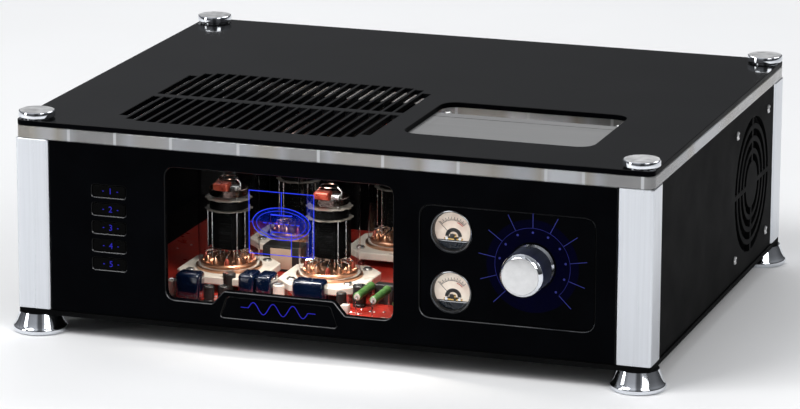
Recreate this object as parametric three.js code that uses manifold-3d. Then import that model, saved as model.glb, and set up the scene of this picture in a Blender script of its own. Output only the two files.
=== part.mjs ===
// A tube integrated amplifier in a case of black panels, aluminium corner pillars and a clear acrylic deck.
// Millimetres. +X is right, +Y is back, +Z is up, seen from in front of the control panel.
// The origin is on the ground under the middle of the case.

import * as THREE from 'three';
import { mergeVertices } from 'three/addons/utils/BufferGeometryUtils.js';
import Module from 'manifold-3d';

const wasm = await Module();
wasm.setup();

// ---------------------------------------------------------------- driving dimensions

const CASE_WIDTH = 412;
const CASE_DEPTH = 330;
const HALF_WIDTH = CASE_WIDTH / 2;
const HALF_DEPTH = CASE_DEPTH / 2;

const FOOT_HEIGHT = 13;
const BASE_THICKNESS = 3;
const BASE_TOP = FOOT_HEIGHT + BASE_THICKNESS;
const PILLAR_HEIGHT = 110;
const PILLAR_TOP = BASE_TOP + PILLAR_HEIGHT;
const ACRYLIC_THICKNESS = 8;
const ACRYLIC_TOP = PILLAR_TOP + ACRYLIC_THICKNESS;
const LID_THICKNESS = 3.5;
const LID_TOP = ACRYLIC_TOP + LID_THICKNESS;

const PILLAR_SIZE = 22;
const PILLAR_ROUNDING = 2;
const CORNER_INSET = 10.5;
const GAP = 0.25;
const PANEL_RECESS = 1;
const PANEL_THICKNESS = 5;
const SIDE_THICKNESS = 3;
const PANEL_FRONT = -HALF_DEPTH + PANEL_RECESS;
const PANEL_BACK = PANEL_FRONT + PANEL_THICKNESS;
const REAR_OUTER = HALF_DEPTH - PANEL_RECESS;
const REAR_INNER = REAR_OUTER - SIDE_THICKNESS;
const PANEL_MIDDLE_Z = BASE_TOP + PILLAR_HEIGHT / 2;

const COARSE_SIDES = 8;
const ROUND_SIDES = 16;
const FINE_SIDES = 24;

const STUD_RADIUS = 2.5;
const STUD_TOP = LID_TOP + 3.5;
const STUD_HOLE_RADIUS = 3.25;

const WINDOW = { x: -32, bottom: 30, top: 115, halfWidth: 74.5, rounding: 7 };
const BUMP = { halfBase: 43.5, halfTop: 36, height: 8.7 };
const BADGE = { halfBase: 38.5, halfTop: 34, bottom: 22, top: 35.5, rounding: 2.5 };
const CONTROLS = { x: 115, z: 70, width: 111, height: 71, rounding: 8 };
const CONTROL_FRONT = PANEL_FRONT + 1;

const BUTTON = { x: -144, topZ: 96, pitch: 11.7, width: 22.1, height: 7.4, rounding: 1.7, count: 5 };
const COLLAR = { halfWidth: 12.4, halfHeight: 4.8, thickness: 1.2 };
const STEM_HALF = 2;
const BUTTON_CLEARANCE = 0.3;

const METER = { x: 79.5, z: 70.6, pitch: 38, radius: 13.1, hole: 13.4, pivotDrop: 3.2 };
const VOLUME = { x: 130.9, z: 72.4, length: 26.1 };

const GRILLE = {
  x: -66.6, y: -71, slotCount: 22, slotWidth: 5.6, pitch: 7.63, crossbar: 7, halfDepth: 72.3, corner: 23,
};
const HATCH = { x: 92.5, y: -72.5, width: 122, depth: 91, rounding: 12 };
const DECK_MARGIN = 8;

const FAN = { y: 86, z: PANEL_MIDDLE_Z, size: 92, depth: 25, boltPitch: 82.5, boltHole: 2.2 };
const FAN_GRILLE = { hub: 15.4, slot: 4.6, bar: 3.55, rings: 4, spoke: 3.6 };

const BOARD = { left: -166, right: 52, front: -152, back: 66, bottom: 20.4, top: 22 };
const TUBE_PLACES = [
  ['front_left', -94, -86],
  ['front_right', -26, -86],
  ['rear_left', -78, 2],
  ['rear_right', -10, 2],
];
const TUBE_RADIUS = 19.5;
const TUBE_BASE = 34.8;
const TUBE_TOP = 116;
const TUBE_WALL = 1.2;

// ---------------------------------------------------------------- materials

function material(color, roughness, metalness, opacity = 1) {
  return new THREE.MeshStandardMaterial({
    color, roughness, metalness, opacity, transparent: opacity < 1,
  });
}

const glossBlack = material(0x0b0b0d, 0.2, 0.0);
const panelBlack = material(0x08090c, 0.35, 0.3);
const brushedAluminium = material(0xc9cacd, 0.32, 1.0);
const chrome = material(0xe2e2e4, 0.08, 1.0);
const clearAcrylic = material(0xdfe4e8, 0.12, 0.0, 0.45);
const clearGlass = material(0xe8eef0, 0.03, 0.0, 0.25);
const blackPlastic = material(0x101113, 0.45, 0.0);
const redBoard = material(0x8f1710, 0.4, 0.0);
const greenBoard = material(0x16452a, 0.45, 0.0);
const ceramic = material(0xe6e2da, 0.35, 0.0);
const electrodeMetal = material(0x45474a, 0.45, 0.8);
const needleBlack = material(0x15120f, 0.5, 0.2);
const transformerBlack = material(0x15171a, 0.4, 0.4);
const gildedBrass = material(0xc79a3c, 0.25, 1.0);

// ---------------------------------------------------------------- shape helpers

// A closed outline through [x, y, rounding] corners, each rounded by a curve.
function outline(corners, Kind = THREE.Shape) {
  const path = new Kind();
  const count = corners.length;
  corners.forEach(([x, y, rounding], index) => {
    const corner = new THREE.Vector2(x, y);
    const before = cornerEnd(corner, corners[(index + count - 1) % count], rounding);
    const after = cornerEnd(corner, corners[(index + 1) % count], rounding);
    if (index === 0) path.moveTo(before.x, before.y);
    else path.lineTo(before.x, before.y);
    if (rounding > 0) path.quadraticCurveTo(x, y, after.x, after.y);
  });
  path.closePath();
  return path;
}

function cornerEnd(corner, [towardX, towardY], rounding) {
  const direction = new THREE.Vector2(towardX, towardY).sub(corner).normalize();
  return corner.clone().addScaledVector(direction, rounding);
}

function rectangle(x, y, width, height, rounding = 0, Kind = THREE.Shape) {
  const right = x + width / 2;
  const left = x - width / 2;
  const top = y + height / 2;
  const bottom = y - height / 2;
  return outline([
    [left, bottom, rounding], [right, bottom, rounding], [right, top, rounding], [left, top, rounding],
  ], Kind);
}

function polygonHole(x, y, radius, sides) {
  const points = [];
  for (let side = 0; side < sides; side += 1) {
    const angle = (2 * Math.PI * side) / sides;
    points.push(new THREE.Vector2(x + radius * Math.cos(angle), y + radius * Math.sin(angle)));
  }
  return new THREE.Path(points);
}

function roundShape(x, y, radius, sides = ROUND_SIDES) {
  return new THREE.Shape(polygonHole(x, y, radius, sides).getPoints());
}

function withHoles(shape, holes) {
  shape.holes.push(...holes);
  return shape;
}

// Plates: the outline is drawn on the face, and the plate grows from its back face towards the viewer.
function plateUp(shape, bottom, thickness, curveSegments = 3) {
  const settings = { depth: thickness, bevelEnabled: false, curveSegments };
  return new THREE.ExtrudeGeometry(shape, settings).translate(0, 0, bottom);
}

function plateForward(shape, back, thickness, curveSegments = 3) {
  return plateUp(shape, 0, thickness, curveSegments).rotateX(Math.PI / 2).translate(0, back, 0);
}

function plateRight(shape, left, thickness, curveSegments = 3) {
  return plateUp(shape, 0, thickness, curveSegments)
    .rotateX(Math.PI / 2).rotateZ(Math.PI / 2).translate(left, 0, 0);
}

function block([left, right], [front, back], [bottom, top]) {
  return new THREE.BoxGeometry(right - left, back - front, top - bottom)
    .translate((left + right) / 2, (front + back) / 2, (bottom + top) / 2);
}

// A turned piece from [radius, height] points that start and end on the axis, upward from the bottom.
function turnedUp(profile, segments) {
  const points = profile.map(([radius, height]) => new THREE.Vector2(radius, height));
  return new THREE.LatheGeometry(points, segments).rotateX(Math.PI / 2);
}

// The same along Y: the heights are Y values and the profile starts at its frontmost end.
function turnedBack(profile, segments) {
  const points = profile.map(([radius, depth]) => new THREE.Vector2(radius, depth));
  return new THREE.LatheGeometry(points, segments);
}

function rod(radius, bottom, top, segments = COARSE_SIDES) {
  return turnedUp([[0, bottom], [radius, bottom], [radius, top], [0, top]], segments);
}

function rodBack(radius, front, back, segments = COARSE_SIDES) {
  return turnedBack([[0, front], [radius, front], [radius, back], [0, back]], segments);
}

function solid(geometry) {
  const bare = geometry.clone();
  bare.deleteAttribute('normal');
  bare.deleteAttribute('uv');
  const merged = mergeVertices(bare);
  const corners = merged.index.array;
  const kept = [];
  for (let first = 0; first < corners.length; first += 3) {
    const [a, b, c] = corners.slice(first, first + 3);
    if (a !== b && b !== c && c !== a) kept.push(a, b, c);
  }
  return new wasm.Manifold(new wasm.Mesh({
    numProp: 3,
    vertProperties: merged.attributes.position.array,
    triVerts: new Uint32Array(kept),
  }));
}

function surface(body) {
  const mesh = body.getMesh();
  const geometry = new THREE.BufferGeometry();
  geometry.setAttribute('position', new THREE.BufferAttribute(mesh.vertProperties, 3));
  geometry.setIndex(new THREE.BufferAttribute(mesh.triVerts, 1));
  geometry.computeVertexNormals();
  return geometry;
}

function joined(...geometries) {
  return surface(geometries.map(solid).reduce((whole, piece) => whole.add(piece)));
}

function cut(geometry, ...tools) {
  return surface(tools.map(solid).reduce((whole, tool) => whole.subtract(tool), solid(geometry)));
}

const amplifier = new THREE.Group();
amplifier.name = 'tube_amplifier';

function addPart(name, geometry, finish, x = 0, y = 0, z = 0) {
  const part = new THREE.Mesh(geometry, finish);
  part.name = name;
  part.position.set(x, y, z);
  amplifier.add(part);
}

const CORNERS = [
  ['front_left', -1, -1],
  ['front_right', 1, -1],
  ['rear_left', -1, 1],
  ['rear_right', 1, 1],
];

// ---------------------------------------------------------------- base, feet and pillars

function addBase() {
  const outlineOfBase = rectangle(0, 0, CASE_WIDTH, CASE_DEPTH, 3);
  addPart('base_plate', plateUp(outlineOfBase, FOOT_HEIGHT, BASE_THICKNESS), panelBlack);
}

// A turned cone that flares to a rounded rim at the ground.
function addFeet() {
  const profile = [
    [0, 0], [16.9, 0], [17.5, 0.7], [17.5, 3.2], [16.8, 4.2], [13.2, FOOT_HEIGHT], [0, FOOT_HEIGHT],
  ];
  CORNERS.forEach(([where, sideX, sideY]) => {
    const x = sideX * (HALF_WIDTH - CORNER_INSET);
    const y = sideY * (HALF_DEPTH - CORNER_INSET);
    addPart(`foot_${where}`, turnedUp(profile, FINE_SIDES), chrome, x, y);
  });
}

// A square post with a stud on top that reaches through both deck plates.
function addPillars() {
  const middle = PILLAR_SIZE / 2;
  CORNERS.forEach(([where, sideX, sideY]) => {
    const x = sideX * (HALF_WIDTH - middle);
    const y = sideY * (HALF_DEPTH - middle);
    const section = rectangle(x, y, PILLAR_SIZE, PILLAR_SIZE, PILLAR_ROUNDING);
    const post = plateUp(section, BASE_TOP, PILLAR_HEIGHT, 2);
    const studX = sideX * (HALF_WIDTH - CORNER_INSET);
    const studY = sideY * (HALF_DEPTH - CORNER_INSET);
    const stud = rod(STUD_RADIUS, PILLAR_TOP - 5, STUD_TOP).translate(studX, studY, 0);
    addPart(`pillar_${where}`, joined(post, stud), brushedAluminium);
  });
}

// ---------------------------------------------------------------- front panel

function windowOutline() {
  const { x, bottom, top, halfWidth, rounding } = WINDOW;
  const bumpTop = bottom + BUMP.height;
  return outline([
    [x - halfWidth, bottom, rounding],
    [x - BUMP.halfBase, bottom, 1],
    [x - BUMP.halfTop, bumpTop, 1.5],
    [x + BUMP.halfTop, bumpTop, 1.5],
    [x + BUMP.halfBase, bottom, 1],
    [x + halfWidth, bottom, rounding],
    [x + halfWidth, top, rounding],
    [x - halfWidth, top, rounding],
  ], THREE.Path);
}

function badgeOutline(margin, Kind) {
  const { halfBase, halfTop, bottom, top, rounding } = BADGE;
  return outline([
    [WINDOW.x - halfBase - margin, bottom - margin, rounding],
    [WINDOW.x + halfBase + margin, bottom - margin, rounding],
    [WINDOW.x + halfTop + margin, top + margin, rounding],
    [WINDOW.x - halfTop - margin, top + margin, rounding],
  ], Kind);
}

function buttonHeights() {
  return Array.from({ length: BUTTON.count }, (_, index) => BUTTON.topZ - index * BUTTON.pitch);
}

function buttonOutline(z, margin, Kind) {
  return rectangle(
    BUTTON.x, z, BUTTON.width + 2 * margin, BUTTON.height + 2 * margin, BUTTON.rounding + margin, Kind,
  );
}

function addFrontPanel() {
  const width = CASE_WIDTH - 2 * PILLAR_SIZE - 2 * GAP;
  const holes = [
    windowOutline(),
    rectangle(CONTROLS.x, CONTROLS.z, CONTROLS.width, CONTROLS.height, CONTROLS.rounding, THREE.Path),
    badgeOutline(0, THREE.Path),
    ...buttonHeights().map((z) => buttonOutline(z, BUTTON_CLEARANCE, THREE.Path)),
  ];
  const face = withHoles(rectangle(0, PANEL_MIDDLE_Z, width, PILLAR_HEIGHT), holes);
  addPart('front_panel', plateForward(face, PANEL_BACK, PANEL_THICKNESS), panelBlack);
}

function addBadgePlate() {
  const thickness = 4;
  const shape = badgeOutline(-BUTTON_CLEARANCE, THREE.Shape);
  addPart('badge_plate', plateForward(shape, PANEL_BACK, thickness), panelBlack);
}

function addWindowGlass() {
  const margin = 3;
  const thickness = 3;
  const height = WINDOW.top - WINDOW.bottom + 2 * margin;
  const middle = (WINDOW.top + WINDOW.bottom) / 2;
  const pane = rectangle(WINDOW.x, middle, 2 * WINDOW.halfWidth + 2 * margin, height, WINDOW.rounding);
  addPart('window_glass', plateForward(pane, PANEL_BACK + GAP + thickness, thickness), clearGlass);
}

function meterHeights() {
  return [['upper', METER.z + METER.pitch / 2], ['lower', METER.z - METER.pitch / 2]];
}

// The control plate stands in the cut-out of the front panel, with a flange behind it.
function addControlPlate() {
  const fit = 2 * BUTTON_CLEARANCE;
  const flange = 6;
  const holes = () => [
    ...meterHeights().map(([, z]) => polygonHole(METER.x, z, METER.hole, FINE_SIDES)),
    polygonHole(VOLUME.x, VOLUME.z, 5.2, ROUND_SIDES),
  ];
  const plateShape = rectangle(
    CONTROLS.x, CONTROLS.z, CONTROLS.width - fit, CONTROLS.height - fit, CONTROLS.rounding - fit / 2,
  );
  const flangeShape = rectangle(
    CONTROLS.x, CONTROLS.z, CONTROLS.width + flange, CONTROLS.height + flange, CONTROLS.rounding,
  );
  const flangeFront = PANEL_BACK + GAP;
  const flangeThickness = 1.5;
  const flangeBack = flangeFront + flangeThickness;
  const plate = plateForward(withHoles(plateShape, holes()), flangeBack, flangeBack - CONTROL_FRONT);
  const rim = plateForward(withHoles(flangeShape, holes()), flangeBack, flangeThickness);
  addPart('control_plate', joined(plate, rim), panelBlack);
}

// ---------------------------------------------------------------- input buttons and their switch board

const BUTTON_FACE = PANEL_FRONT + 0.25;
const BUTTON_STEM_END = -151.4;
const SWITCH_FACE = -150;
const SWITCH_BOARD_FRONT = -146;
const SWITCH_BOARD_BACK = -144.4;

function addButtons() {
  const { halfWidth, halfHeight, thickness } = COLLAR;
  const collarFront = PANEL_BACK + 0.4;
  const collarBack = collarFront + thickness;
  buttonHeights().forEach((z, index) => {
    const key = plateForward(buttonOutline(z, 0, THREE.Shape), collarBack, collarBack - BUTTON_FACE, 2);
    const collar = block(
      [BUTTON.x - halfWidth, BUTTON.x + halfWidth],
      [collarFront, collarBack],
      [z - halfHeight, z + halfHeight],
    );
    const stem = block(
      [BUTTON.x - STEM_HALF, BUTTON.x + STEM_HALF],
      [collarFront, BUTTON_STEM_END],
      [z - STEM_HALF, z + STEM_HALF],
    );
    addPart(`input_button_${index + 1}`, joined(key, collar, stem), blackPlastic);
  });
}

function addSelectorBoard() {
  const halfWidth = 12;
  const margin = 11;
  const switchHalf = 3.5;
  const sunk = 0.5;
  const heights = buttonHeights();
  const top = heights[0] + margin;
  const bottom = heights[BUTTON.count - 1] - margin;
  const board = block(
    [BUTTON.x - halfWidth, BUTTON.x + halfWidth], [SWITCH_BOARD_FRONT, SWITCH_BOARD_BACK], [bottom, top],
  );
  const switches = heights.map((z) => block(
    [BUTTON.x - switchHalf, BUTTON.x + switchHalf],
    [SWITCH_FACE, SWITCH_BOARD_FRONT + sunk],
    [z - switchHalf, z + switchHalf],
  ));
  const posts = [top - switchHalf, bottom + switchHalf].map((z) => (
    rodBack(2.2, PANEL_BACK + GAP, SWITCH_BOARD_FRONT + sunk).translate(BUTTON.x, 0, z)
  ));
  addPart('selector_board', joined(board, ...switches, ...posts), greenBoard);
}

// ---------------------------------------------------------------- meters

const METER_FACE = CONTROL_FRONT - 0.9;
const METER_CARD = METER_FACE + 4.4;
const METER_END = METER_FACE + 21;
const NEEDLE_REST_ANGLE = Math.PI / 4;
const NEEDLE_LENGTH = 12.2;

function addMeters() {
  const { x, radius, pivotDrop } = METER;
  const housing = [
    [0, METER_CARD], [radius - 1.1, METER_CARD],
    [radius - 1.1, METER_FACE + 0.4], [radius - 0.7, METER_FACE], [radius, METER_FACE + 0.3],
    [radius, METER_END], [0, METER_END],
  ];
  meterHeights().forEach(([where, z]) => {
    const can = turnedBack(housing, FINE_SIDES);
    const pivot = rodBack(1.2, METER_CARD - 1.2, METER_CARD + 1).translate(0, 0, -pivotDrop);
    addPart(`meter_housing_${where}`, joined(can, pivot), blackPlastic, x, 0, z);
    const lens = rodBack(radius - 1.5, METER_FACE + 0.6, METER_FACE + 1.4, FINE_SIDES);
    addPart(`meter_lens_${where}`, lens, clearGlass, x, 0, z);
    addPart(`meter_needle_${where}`, needleGeometry(), needleBlack, x, 0, z - pivotDrop);
  });
}

// The needle rests at the left end of its scale.
function needleGeometry() {
  const back = METER_CARD - 1.5;
  const hub = rodBack(1.5, back - 0.9, back);
  const arm = block([-0.25, 0.25], [back - 0.7, back - 0.2], [0, NEEDLE_LENGTH]);
  return joined(hub, arm.rotateY(-NEEDLE_REST_ANGLE));
}

// ---------------------------------------------------------------- volume control

function addVolumeControl() {
  const { x, z, length } = VOLUME;
  const back = CONTROL_FRONT - 0.7;
  const front = back - length;
  const boreEnd = front + 11.5;
  const shaftRadius = 3;
  const knob = [
    [0, front], [12.2, front + 0.5], [13.6, front + 2.4],
    [13.6, back - 3], [14, back - 2.4], [14, back], [5.8, back], [5.8, back - 2.6],
    [shaftRadius + 0.3, back - 2.6], [shaftRadius + 0.3, boreEnd], [0, boreEnd],
  ];
  addPart('volume_knob', turnedBack(knob, FINE_SIDES), chrome, x, 0, z);
  const shaftEnd = -151.6;
  const shaft = rodBack(shaftRadius, boreEnd + 0.4, shaftEnd, ROUND_SIDES);
  addPart('volume_shaft', shaft, brushedAluminium, x, 0, z);
  const bodyFront = -156.9;
  const bodyBack = -145;
  const sleeveFront = back - 1.2;
  const potentiometer = [
    [0, shaftEnd + 0.6], [shaftRadius + 0.4, shaftEnd + 0.6], [shaftRadius + 0.4, sleeveFront],
    [4.7, sleeveFront], [4.7, bodyFront], [12, bodyFront], [12, bodyBack], [0, bodyBack],
  ];
  addPart('volume_potentiometer', turnedBack(potentiometer, ROUND_SIDES), blackPlastic, x, 0, z);
}

// ---------------------------------------------------------------- side and rear panels

function sideFace() {
  const depth = CASE_DEPTH - 2 * PILLAR_SIZE - 2 * GAP;
  return rectangle(0, PANEL_MIDDLE_Z, depth, PILLAR_HEIGHT);
}

// One quarter of a ring slot, kept back from the spokes on both sides.
function ringSlot(inner, outer, quarter) {
  const startAngle = (quarter * Math.PI) / 2;
  const halfSpoke = FAN_GRILLE.spoke / 2;
  const points = [];
  const steps = 5;
  [[outer, 1], [inner, -1]].forEach(([radius, direction]) => {
    const keep = Math.asin(halfSpoke / radius);
    const low = startAngle + keep;
    const high = startAngle + Math.PI / 2 - keep;
    for (let step = 0; step <= steps; step += 1) {
      const share = direction > 0 ? step / steps : 1 - step / steps;
      const angle = low + (high - low) * share;
      points.push(new THREE.Vector2(FAN.y + radius * Math.cos(angle), FAN.z + radius * Math.sin(angle)));
    }
  });
  return new THREE.Shape(points);
}

function fanBolts() {
  const half = FAN.boltPitch / 2;
  return CORNERS.map(([, sideY, sideZ]) => [FAN.y + sideY * half, FAN.z + sideZ * half]);
}

function addSidePanels() {
  const outer = HALF_WIDTH - PANEL_RECESS;
  addPart('left_side_panel', plateRight(sideFace(), -outer, SIDE_THICKNESS), panelBlack);
  const openings = fanBolts().map(([y, z]) => roundShape(y, z, FAN.boltHole, COARSE_SIDES));
  for (let ring = 0; ring < FAN_GRILLE.rings; ring += 1) {
    const inner = FAN_GRILLE.hub + ring * (FAN_GRILLE.slot + FAN_GRILLE.bar);
    for (let quarter = 0; quarter < 4; quarter += 1) {
      openings.push(ringSlot(inner, inner + FAN_GRILLE.slot, quarter));
    }
  }
  const inner = outer - SIDE_THICKNESS;
  const tools = openings.map((opening) => plateRight(opening, inner - 1, SIDE_THICKNESS + 2));
  addPart('right_side_panel', cut(plateRight(sideFace(), inner, SIDE_THICKNESS), ...tools), panelBlack);
}

const INLET = { x: 146, z: 66, halfWidth: 24, halfHeight: 27, bodyHalfWidth: 15, bodyHalfHeight: 22 };
const JACKS = { x: -118, z: 72, columns: 5, pitchX: 20, pitchZ: 20, plateWidth: 106, plateHeight: 44 };
const TERMINALS = {
  z: 72, spread: 26, plateWidth: 46, plateHeight: 24, places: [['left', -30], ['right', 44]],
};

function addRearPanel() {
  const width = CASE_WIDTH - 2 * PILLAR_SIZE - 2 * GAP;
  const inletHole = rectangle(
    INLET.x, INLET.z, 2 * INLET.bodyHalfWidth + 0.6, 2 * INLET.bodyHalfHeight + 0.6, 0, THREE.Path,
  );
  const border = 9.4;
  const jackHole = rectangle(
    JACKS.x, JACKS.z, JACKS.plateWidth - border, JACKS.plateHeight - border, 0, THREE.Path,
  );
  const postHoles = TERMINALS.places.flatMap(([, x]) => [-1, 1].map(
    (side) => polygonHole(x + (side * TERMINALS.spread) / 2, TERMINALS.z, 5.5, COARSE_SIDES),
  ));
  const holes = [inletHole, jackHole, ...postHoles];
  const face = withHoles(rectangle(0, PANEL_MIDDLE_Z, width, PILLAR_HEIGHT), holes);
  addPart('rear_panel', plateForward(face, REAR_OUTER, SIDE_THICKNESS), panelBlack);
}

// ---------------------------------------------------------------- deck

function studHoles(radius) {
  return CORNERS.map(([, sideX, sideY]) => polygonHole(
    sideX * (HALF_WIDTH - CORNER_INSET), sideY * (HALF_DEPTH - CORNER_INSET), radius, COARSE_SIDES,
  ));
}

function grilleHalfWidth() {
  return ((GRILLE.slotCount - 1) * GRILLE.pitch + GRILLE.slotWidth) / 2;
}

// How far a slot falls short of the grille's long edges, so that the slots end on rounded corners.
function cornerShortening(offset) {
  const inCorner = Math.abs(offset) - (grilleHalfWidth() - GRILLE.corner);
  if (inCorner <= 0) return 0;
  return GRILLE.corner - Math.sqrt(GRILLE.corner ** 2 - inCorner ** 2);
}

function grilleSlots() {
  const slots = [];
  for (let index = 0; index < GRILLE.slotCount; index += 1) {
    const offset = (index - (GRILLE.slotCount - 1) / 2) * GRILLE.pitch;
    const outer = GRILLE.halfDepth - cornerShortening(offset);
    const inner = GRILLE.crossbar / 2;
    const middle = (outer + inner) / 2;
    const x = GRILLE.x + offset;
    [-1, 1].forEach((row) => {
      const y = GRILLE.y + row * middle;
      const halfLength = (outer - inner) / 2;
      slots.push(block(
        [x - GRILLE.slotWidth / 2, x + GRILLE.slotWidth / 2],
        [y - halfLength, y + halfLength],
        [ACRYLIC_TOP - 1, LID_TOP + 1],
      ));
    });
  }
  return slots;
}

function addDeck() {
  const grilleWidth = 2 * grilleHalfWidth() + DECK_MARGIN;
  const grilleDepth = 2 * GRILLE.halfDepth + DECK_MARGIN;
  const grilleOpening = rectangle(GRILLE.x, GRILLE.y, grilleWidth, grilleDepth, 10, THREE.Path);
  const hatchOpening = rectangle(
    HATCH.x, HATCH.y, HATCH.width + 2 * DECK_MARGIN, HATCH.depth + 2 * DECK_MARGIN, 0, THREE.Path,
  );
  const deckShape = () => rectangle(0, 0, CASE_WIDTH, CASE_DEPTH, 6);
  const acrylic = withHoles(deckShape(), [grilleOpening, hatchOpening, ...studHoles(STUD_HOLE_RADIUS)]);
  addPart('acrylic_deck', plateUp(acrylic, PILLAR_TOP, ACRYLIC_THICKNESS), clearAcrylic);

  const hatchHole = rectangle(HATCH.x, HATCH.y, HATCH.width, HATCH.depth, HATCH.rounding, THREE.Path);
  const lidShape = withHoles(deckShape(), [hatchHole, ...studHoles(STUD_HOLE_RADIUS)]);
  const lid = plateUp(lidShape, ACRYLIC_TOP, LID_THICKNESS);
  addPart('black_top_plate', cut(lid, ...grilleSlots()), glossBlack);
}

// The satin plate under the hatch stops short of its rear edge and leaves a vent there.
function addHatchCover() {
  const thickness = 2.5;
  const ventDepth = 17.5;
  const left = HATCH.x - HATCH.width / 2 - DECK_MARGIN + GAP;
  const right = HATCH.x + HATCH.width / 2 + DECK_MARGIN - GAP;
  const front = HATCH.y - HATCH.depth / 2 - DECK_MARGIN + GAP;
  const back = HATCH.y + HATCH.depth / 2 - ventDepth;
  const grooveMiddle = back - 9.5;
  const plate = block([left, right], [front, back], [ACRYLIC_TOP - thickness, ACRYLIC_TOP]);
  const groove = block(
    [left - 1, right + 1], [grooveMiddle - 0.6, grooveMiddle + 0.6], [ACRYLIC_TOP - 0.8, ACRYLIC_TOP + 1],
  );
  addPart('hatch_cover', cut(plate, groove), brushedAluminium);
}

function addThumbNuts() {
  const radius = 11.5;
  const top = LID_TOP + 4.9;
  const profile = [
    [0, STUD_TOP + 0.5], [STUD_RADIUS + 0.4, STUD_TOP + 0.5], [STUD_RADIUS + 0.4, LID_TOP], [9, LID_TOP],
    [9, LID_TOP + 0.9], [radius, LID_TOP + 0.9], [radius, top - 0.6], [radius - 0.6, top], [0, top],
  ];
  CORNERS.forEach(([where, sideX, sideY]) => {
    const x = sideX * (HALF_WIDTH - CORNER_INSET);
    const y = sideY * (HALF_DEPTH - CORNER_INSET);
    addPart(`thumb_nut_${where}`, turnedUp(profile, ROUND_SIDES), chrome, x, y);
  });
}

// ---------------------------------------------------------------- circuit board and tubes

function addMainBoard() {
  const { left, right, front, back, bottom, top } = BOARD;
  const board = block([left, right], [front, back], [bottom, top]);
  const inset = 7;
  const standoffs = [left + inset, right - inset].flatMap((x) => [front + inset, back - inset].map(
    (y) => rod(3, BASE_TOP, bottom + 0.5).translate(x, y, 0),
  ));
  addPart('main_board', joined(board, ...standoffs), redBoard);
}

// A chamfered ceramic flange on four spacers, with a raised round seat for the tube.
function socketGeometry() {
  const half = 29;
  const chamfer = 12;
  const spacerPlace = 19;
  const short = half - chamfer;
  const flange = outline([
    [-short, -half, 0], [short, -half, 0], [half, -short, 0], [half, short, 0],
    [short, half, 0], [-short, half, 0], [-half, short, 0], [-half, -short, 0],
  ]);
  const flangeBottom = 28;
  const flangeTop = 33;
  const spacers = [-1, 1].flatMap((sideX) => [-1, 1].map(
    (sideY) => rod(2.5, BOARD.top, flangeBottom + 1).translate(sideX * spacerPlace, sideY * spacerPlace, 0),
  ));
  const seat = rod(20, flangeTop - 1, TUBE_BASE - GAP, ROUND_SIDES);
  return joined(plateUp(flange, flangeBottom, flangeTop - flangeBottom), seat, ...spacers);
}

// A glass envelope, open at the bottom where the socket seat closes it.
function bulbGeometry() {
  const inner = TUBE_RADIUS - TUBE_WALL;
  const shoulder = TUBE_TOP - 15;
  const profile = [
    [0, TUBE_TOP - TUBE_WALL], [12.4, TUBE_TOP - 5], [inner, shoulder], [inner, TUBE_BASE],
    [TUBE_RADIUS, TUBE_BASE], [TUBE_RADIUS, shoulder], [13, TUBE_TOP - 3.9], [0, TUBE_TOP],
  ];
  return turnedUp(profile, ROUND_SIDES);
}

// Glass base, support rods, mica spacers and the plate box of one tube.
function electrodeGeometry() {
  const floor = TUBE_BASE + 0.2;
  const rodTop = 86;
  const micaHeights = [44, 71, 78];
  const [plateBottom, plateHeight] = [44.4, 27];
  const base = rod(TUBE_RADIUS - TUBE_WALL - 0.4, floor, floor + 2, ROUND_SIDES);
  const rods = [-1, 1].map((side) => rod(0.9, floor + 1, rodTop, 4).translate(side * 8, 0, 0));
  const micas = micaHeights.map((height) => rod(15, height, height + 0.8, 12));
  const plates = plateUp(rectangle(0, 0, 21, 13, 4), plateBottom, plateHeight, 2);
  return joined(base, ...rods, ...micas, plates);
}

function addTubes() {
  TUBE_PLACES.forEach(([where, x, y]) => {
    addPart(`tube_socket_${where}`, socketGeometry(), ceramic, x, y);
    addPart(`tube_bulb_${where}`, bulbGeometry(), clearGlass, x, y);
    addPart(`tube_electrodes_${where}`, electrodeGeometry(), electrodeMetal, x, y);
  });
}

// ---------------------------------------------------------------- power supply and cooling

function addPowerTransformer() {
  const [x, y] = [110, -82];
  const radius = 48;
  const top = 96;
  const shoulder = 4;
  const can = [
    [0, BASE_TOP], [radius, BASE_TOP],
    [radius, top - shoulder], [radius - shoulder, top], [0, top],
  ];
  addPart('power_transformer', turnedUp(can, FINE_SIDES), transformerBlack, x, y);
}

function addHeatsink() {
  const [left, right] = [72, 168];
  const [front, back] = [44, 130];
  const finCount = 10;
  const finThickness = 2.2;
  const finTop = 104;
  const baseTop = BASE_TOP + 8;
  const base = block([left, right], [front, back], [BASE_TOP, baseTop]);
  const pitch = (back - front - finThickness) / (finCount - 1);
  const fins = Array.from({ length: finCount }, (_, index) => {
    const y = front + index * pitch;
    return block([left, right], [y, y + finThickness], [baseTop - 1, finTop]);
  });
  addPart('heatsink', joined(base, ...fins), transformerBlack);
}

const FAN_RIGHT = HALF_WIDTH - PANEL_RECESS - SIDE_THICKNESS - 0.4;
const FAN_LEFT = FAN_RIGHT - FAN.depth;
const FAN_BORE = 44.4;
const FAN_MOTOR_RADIUS = 17;

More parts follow.
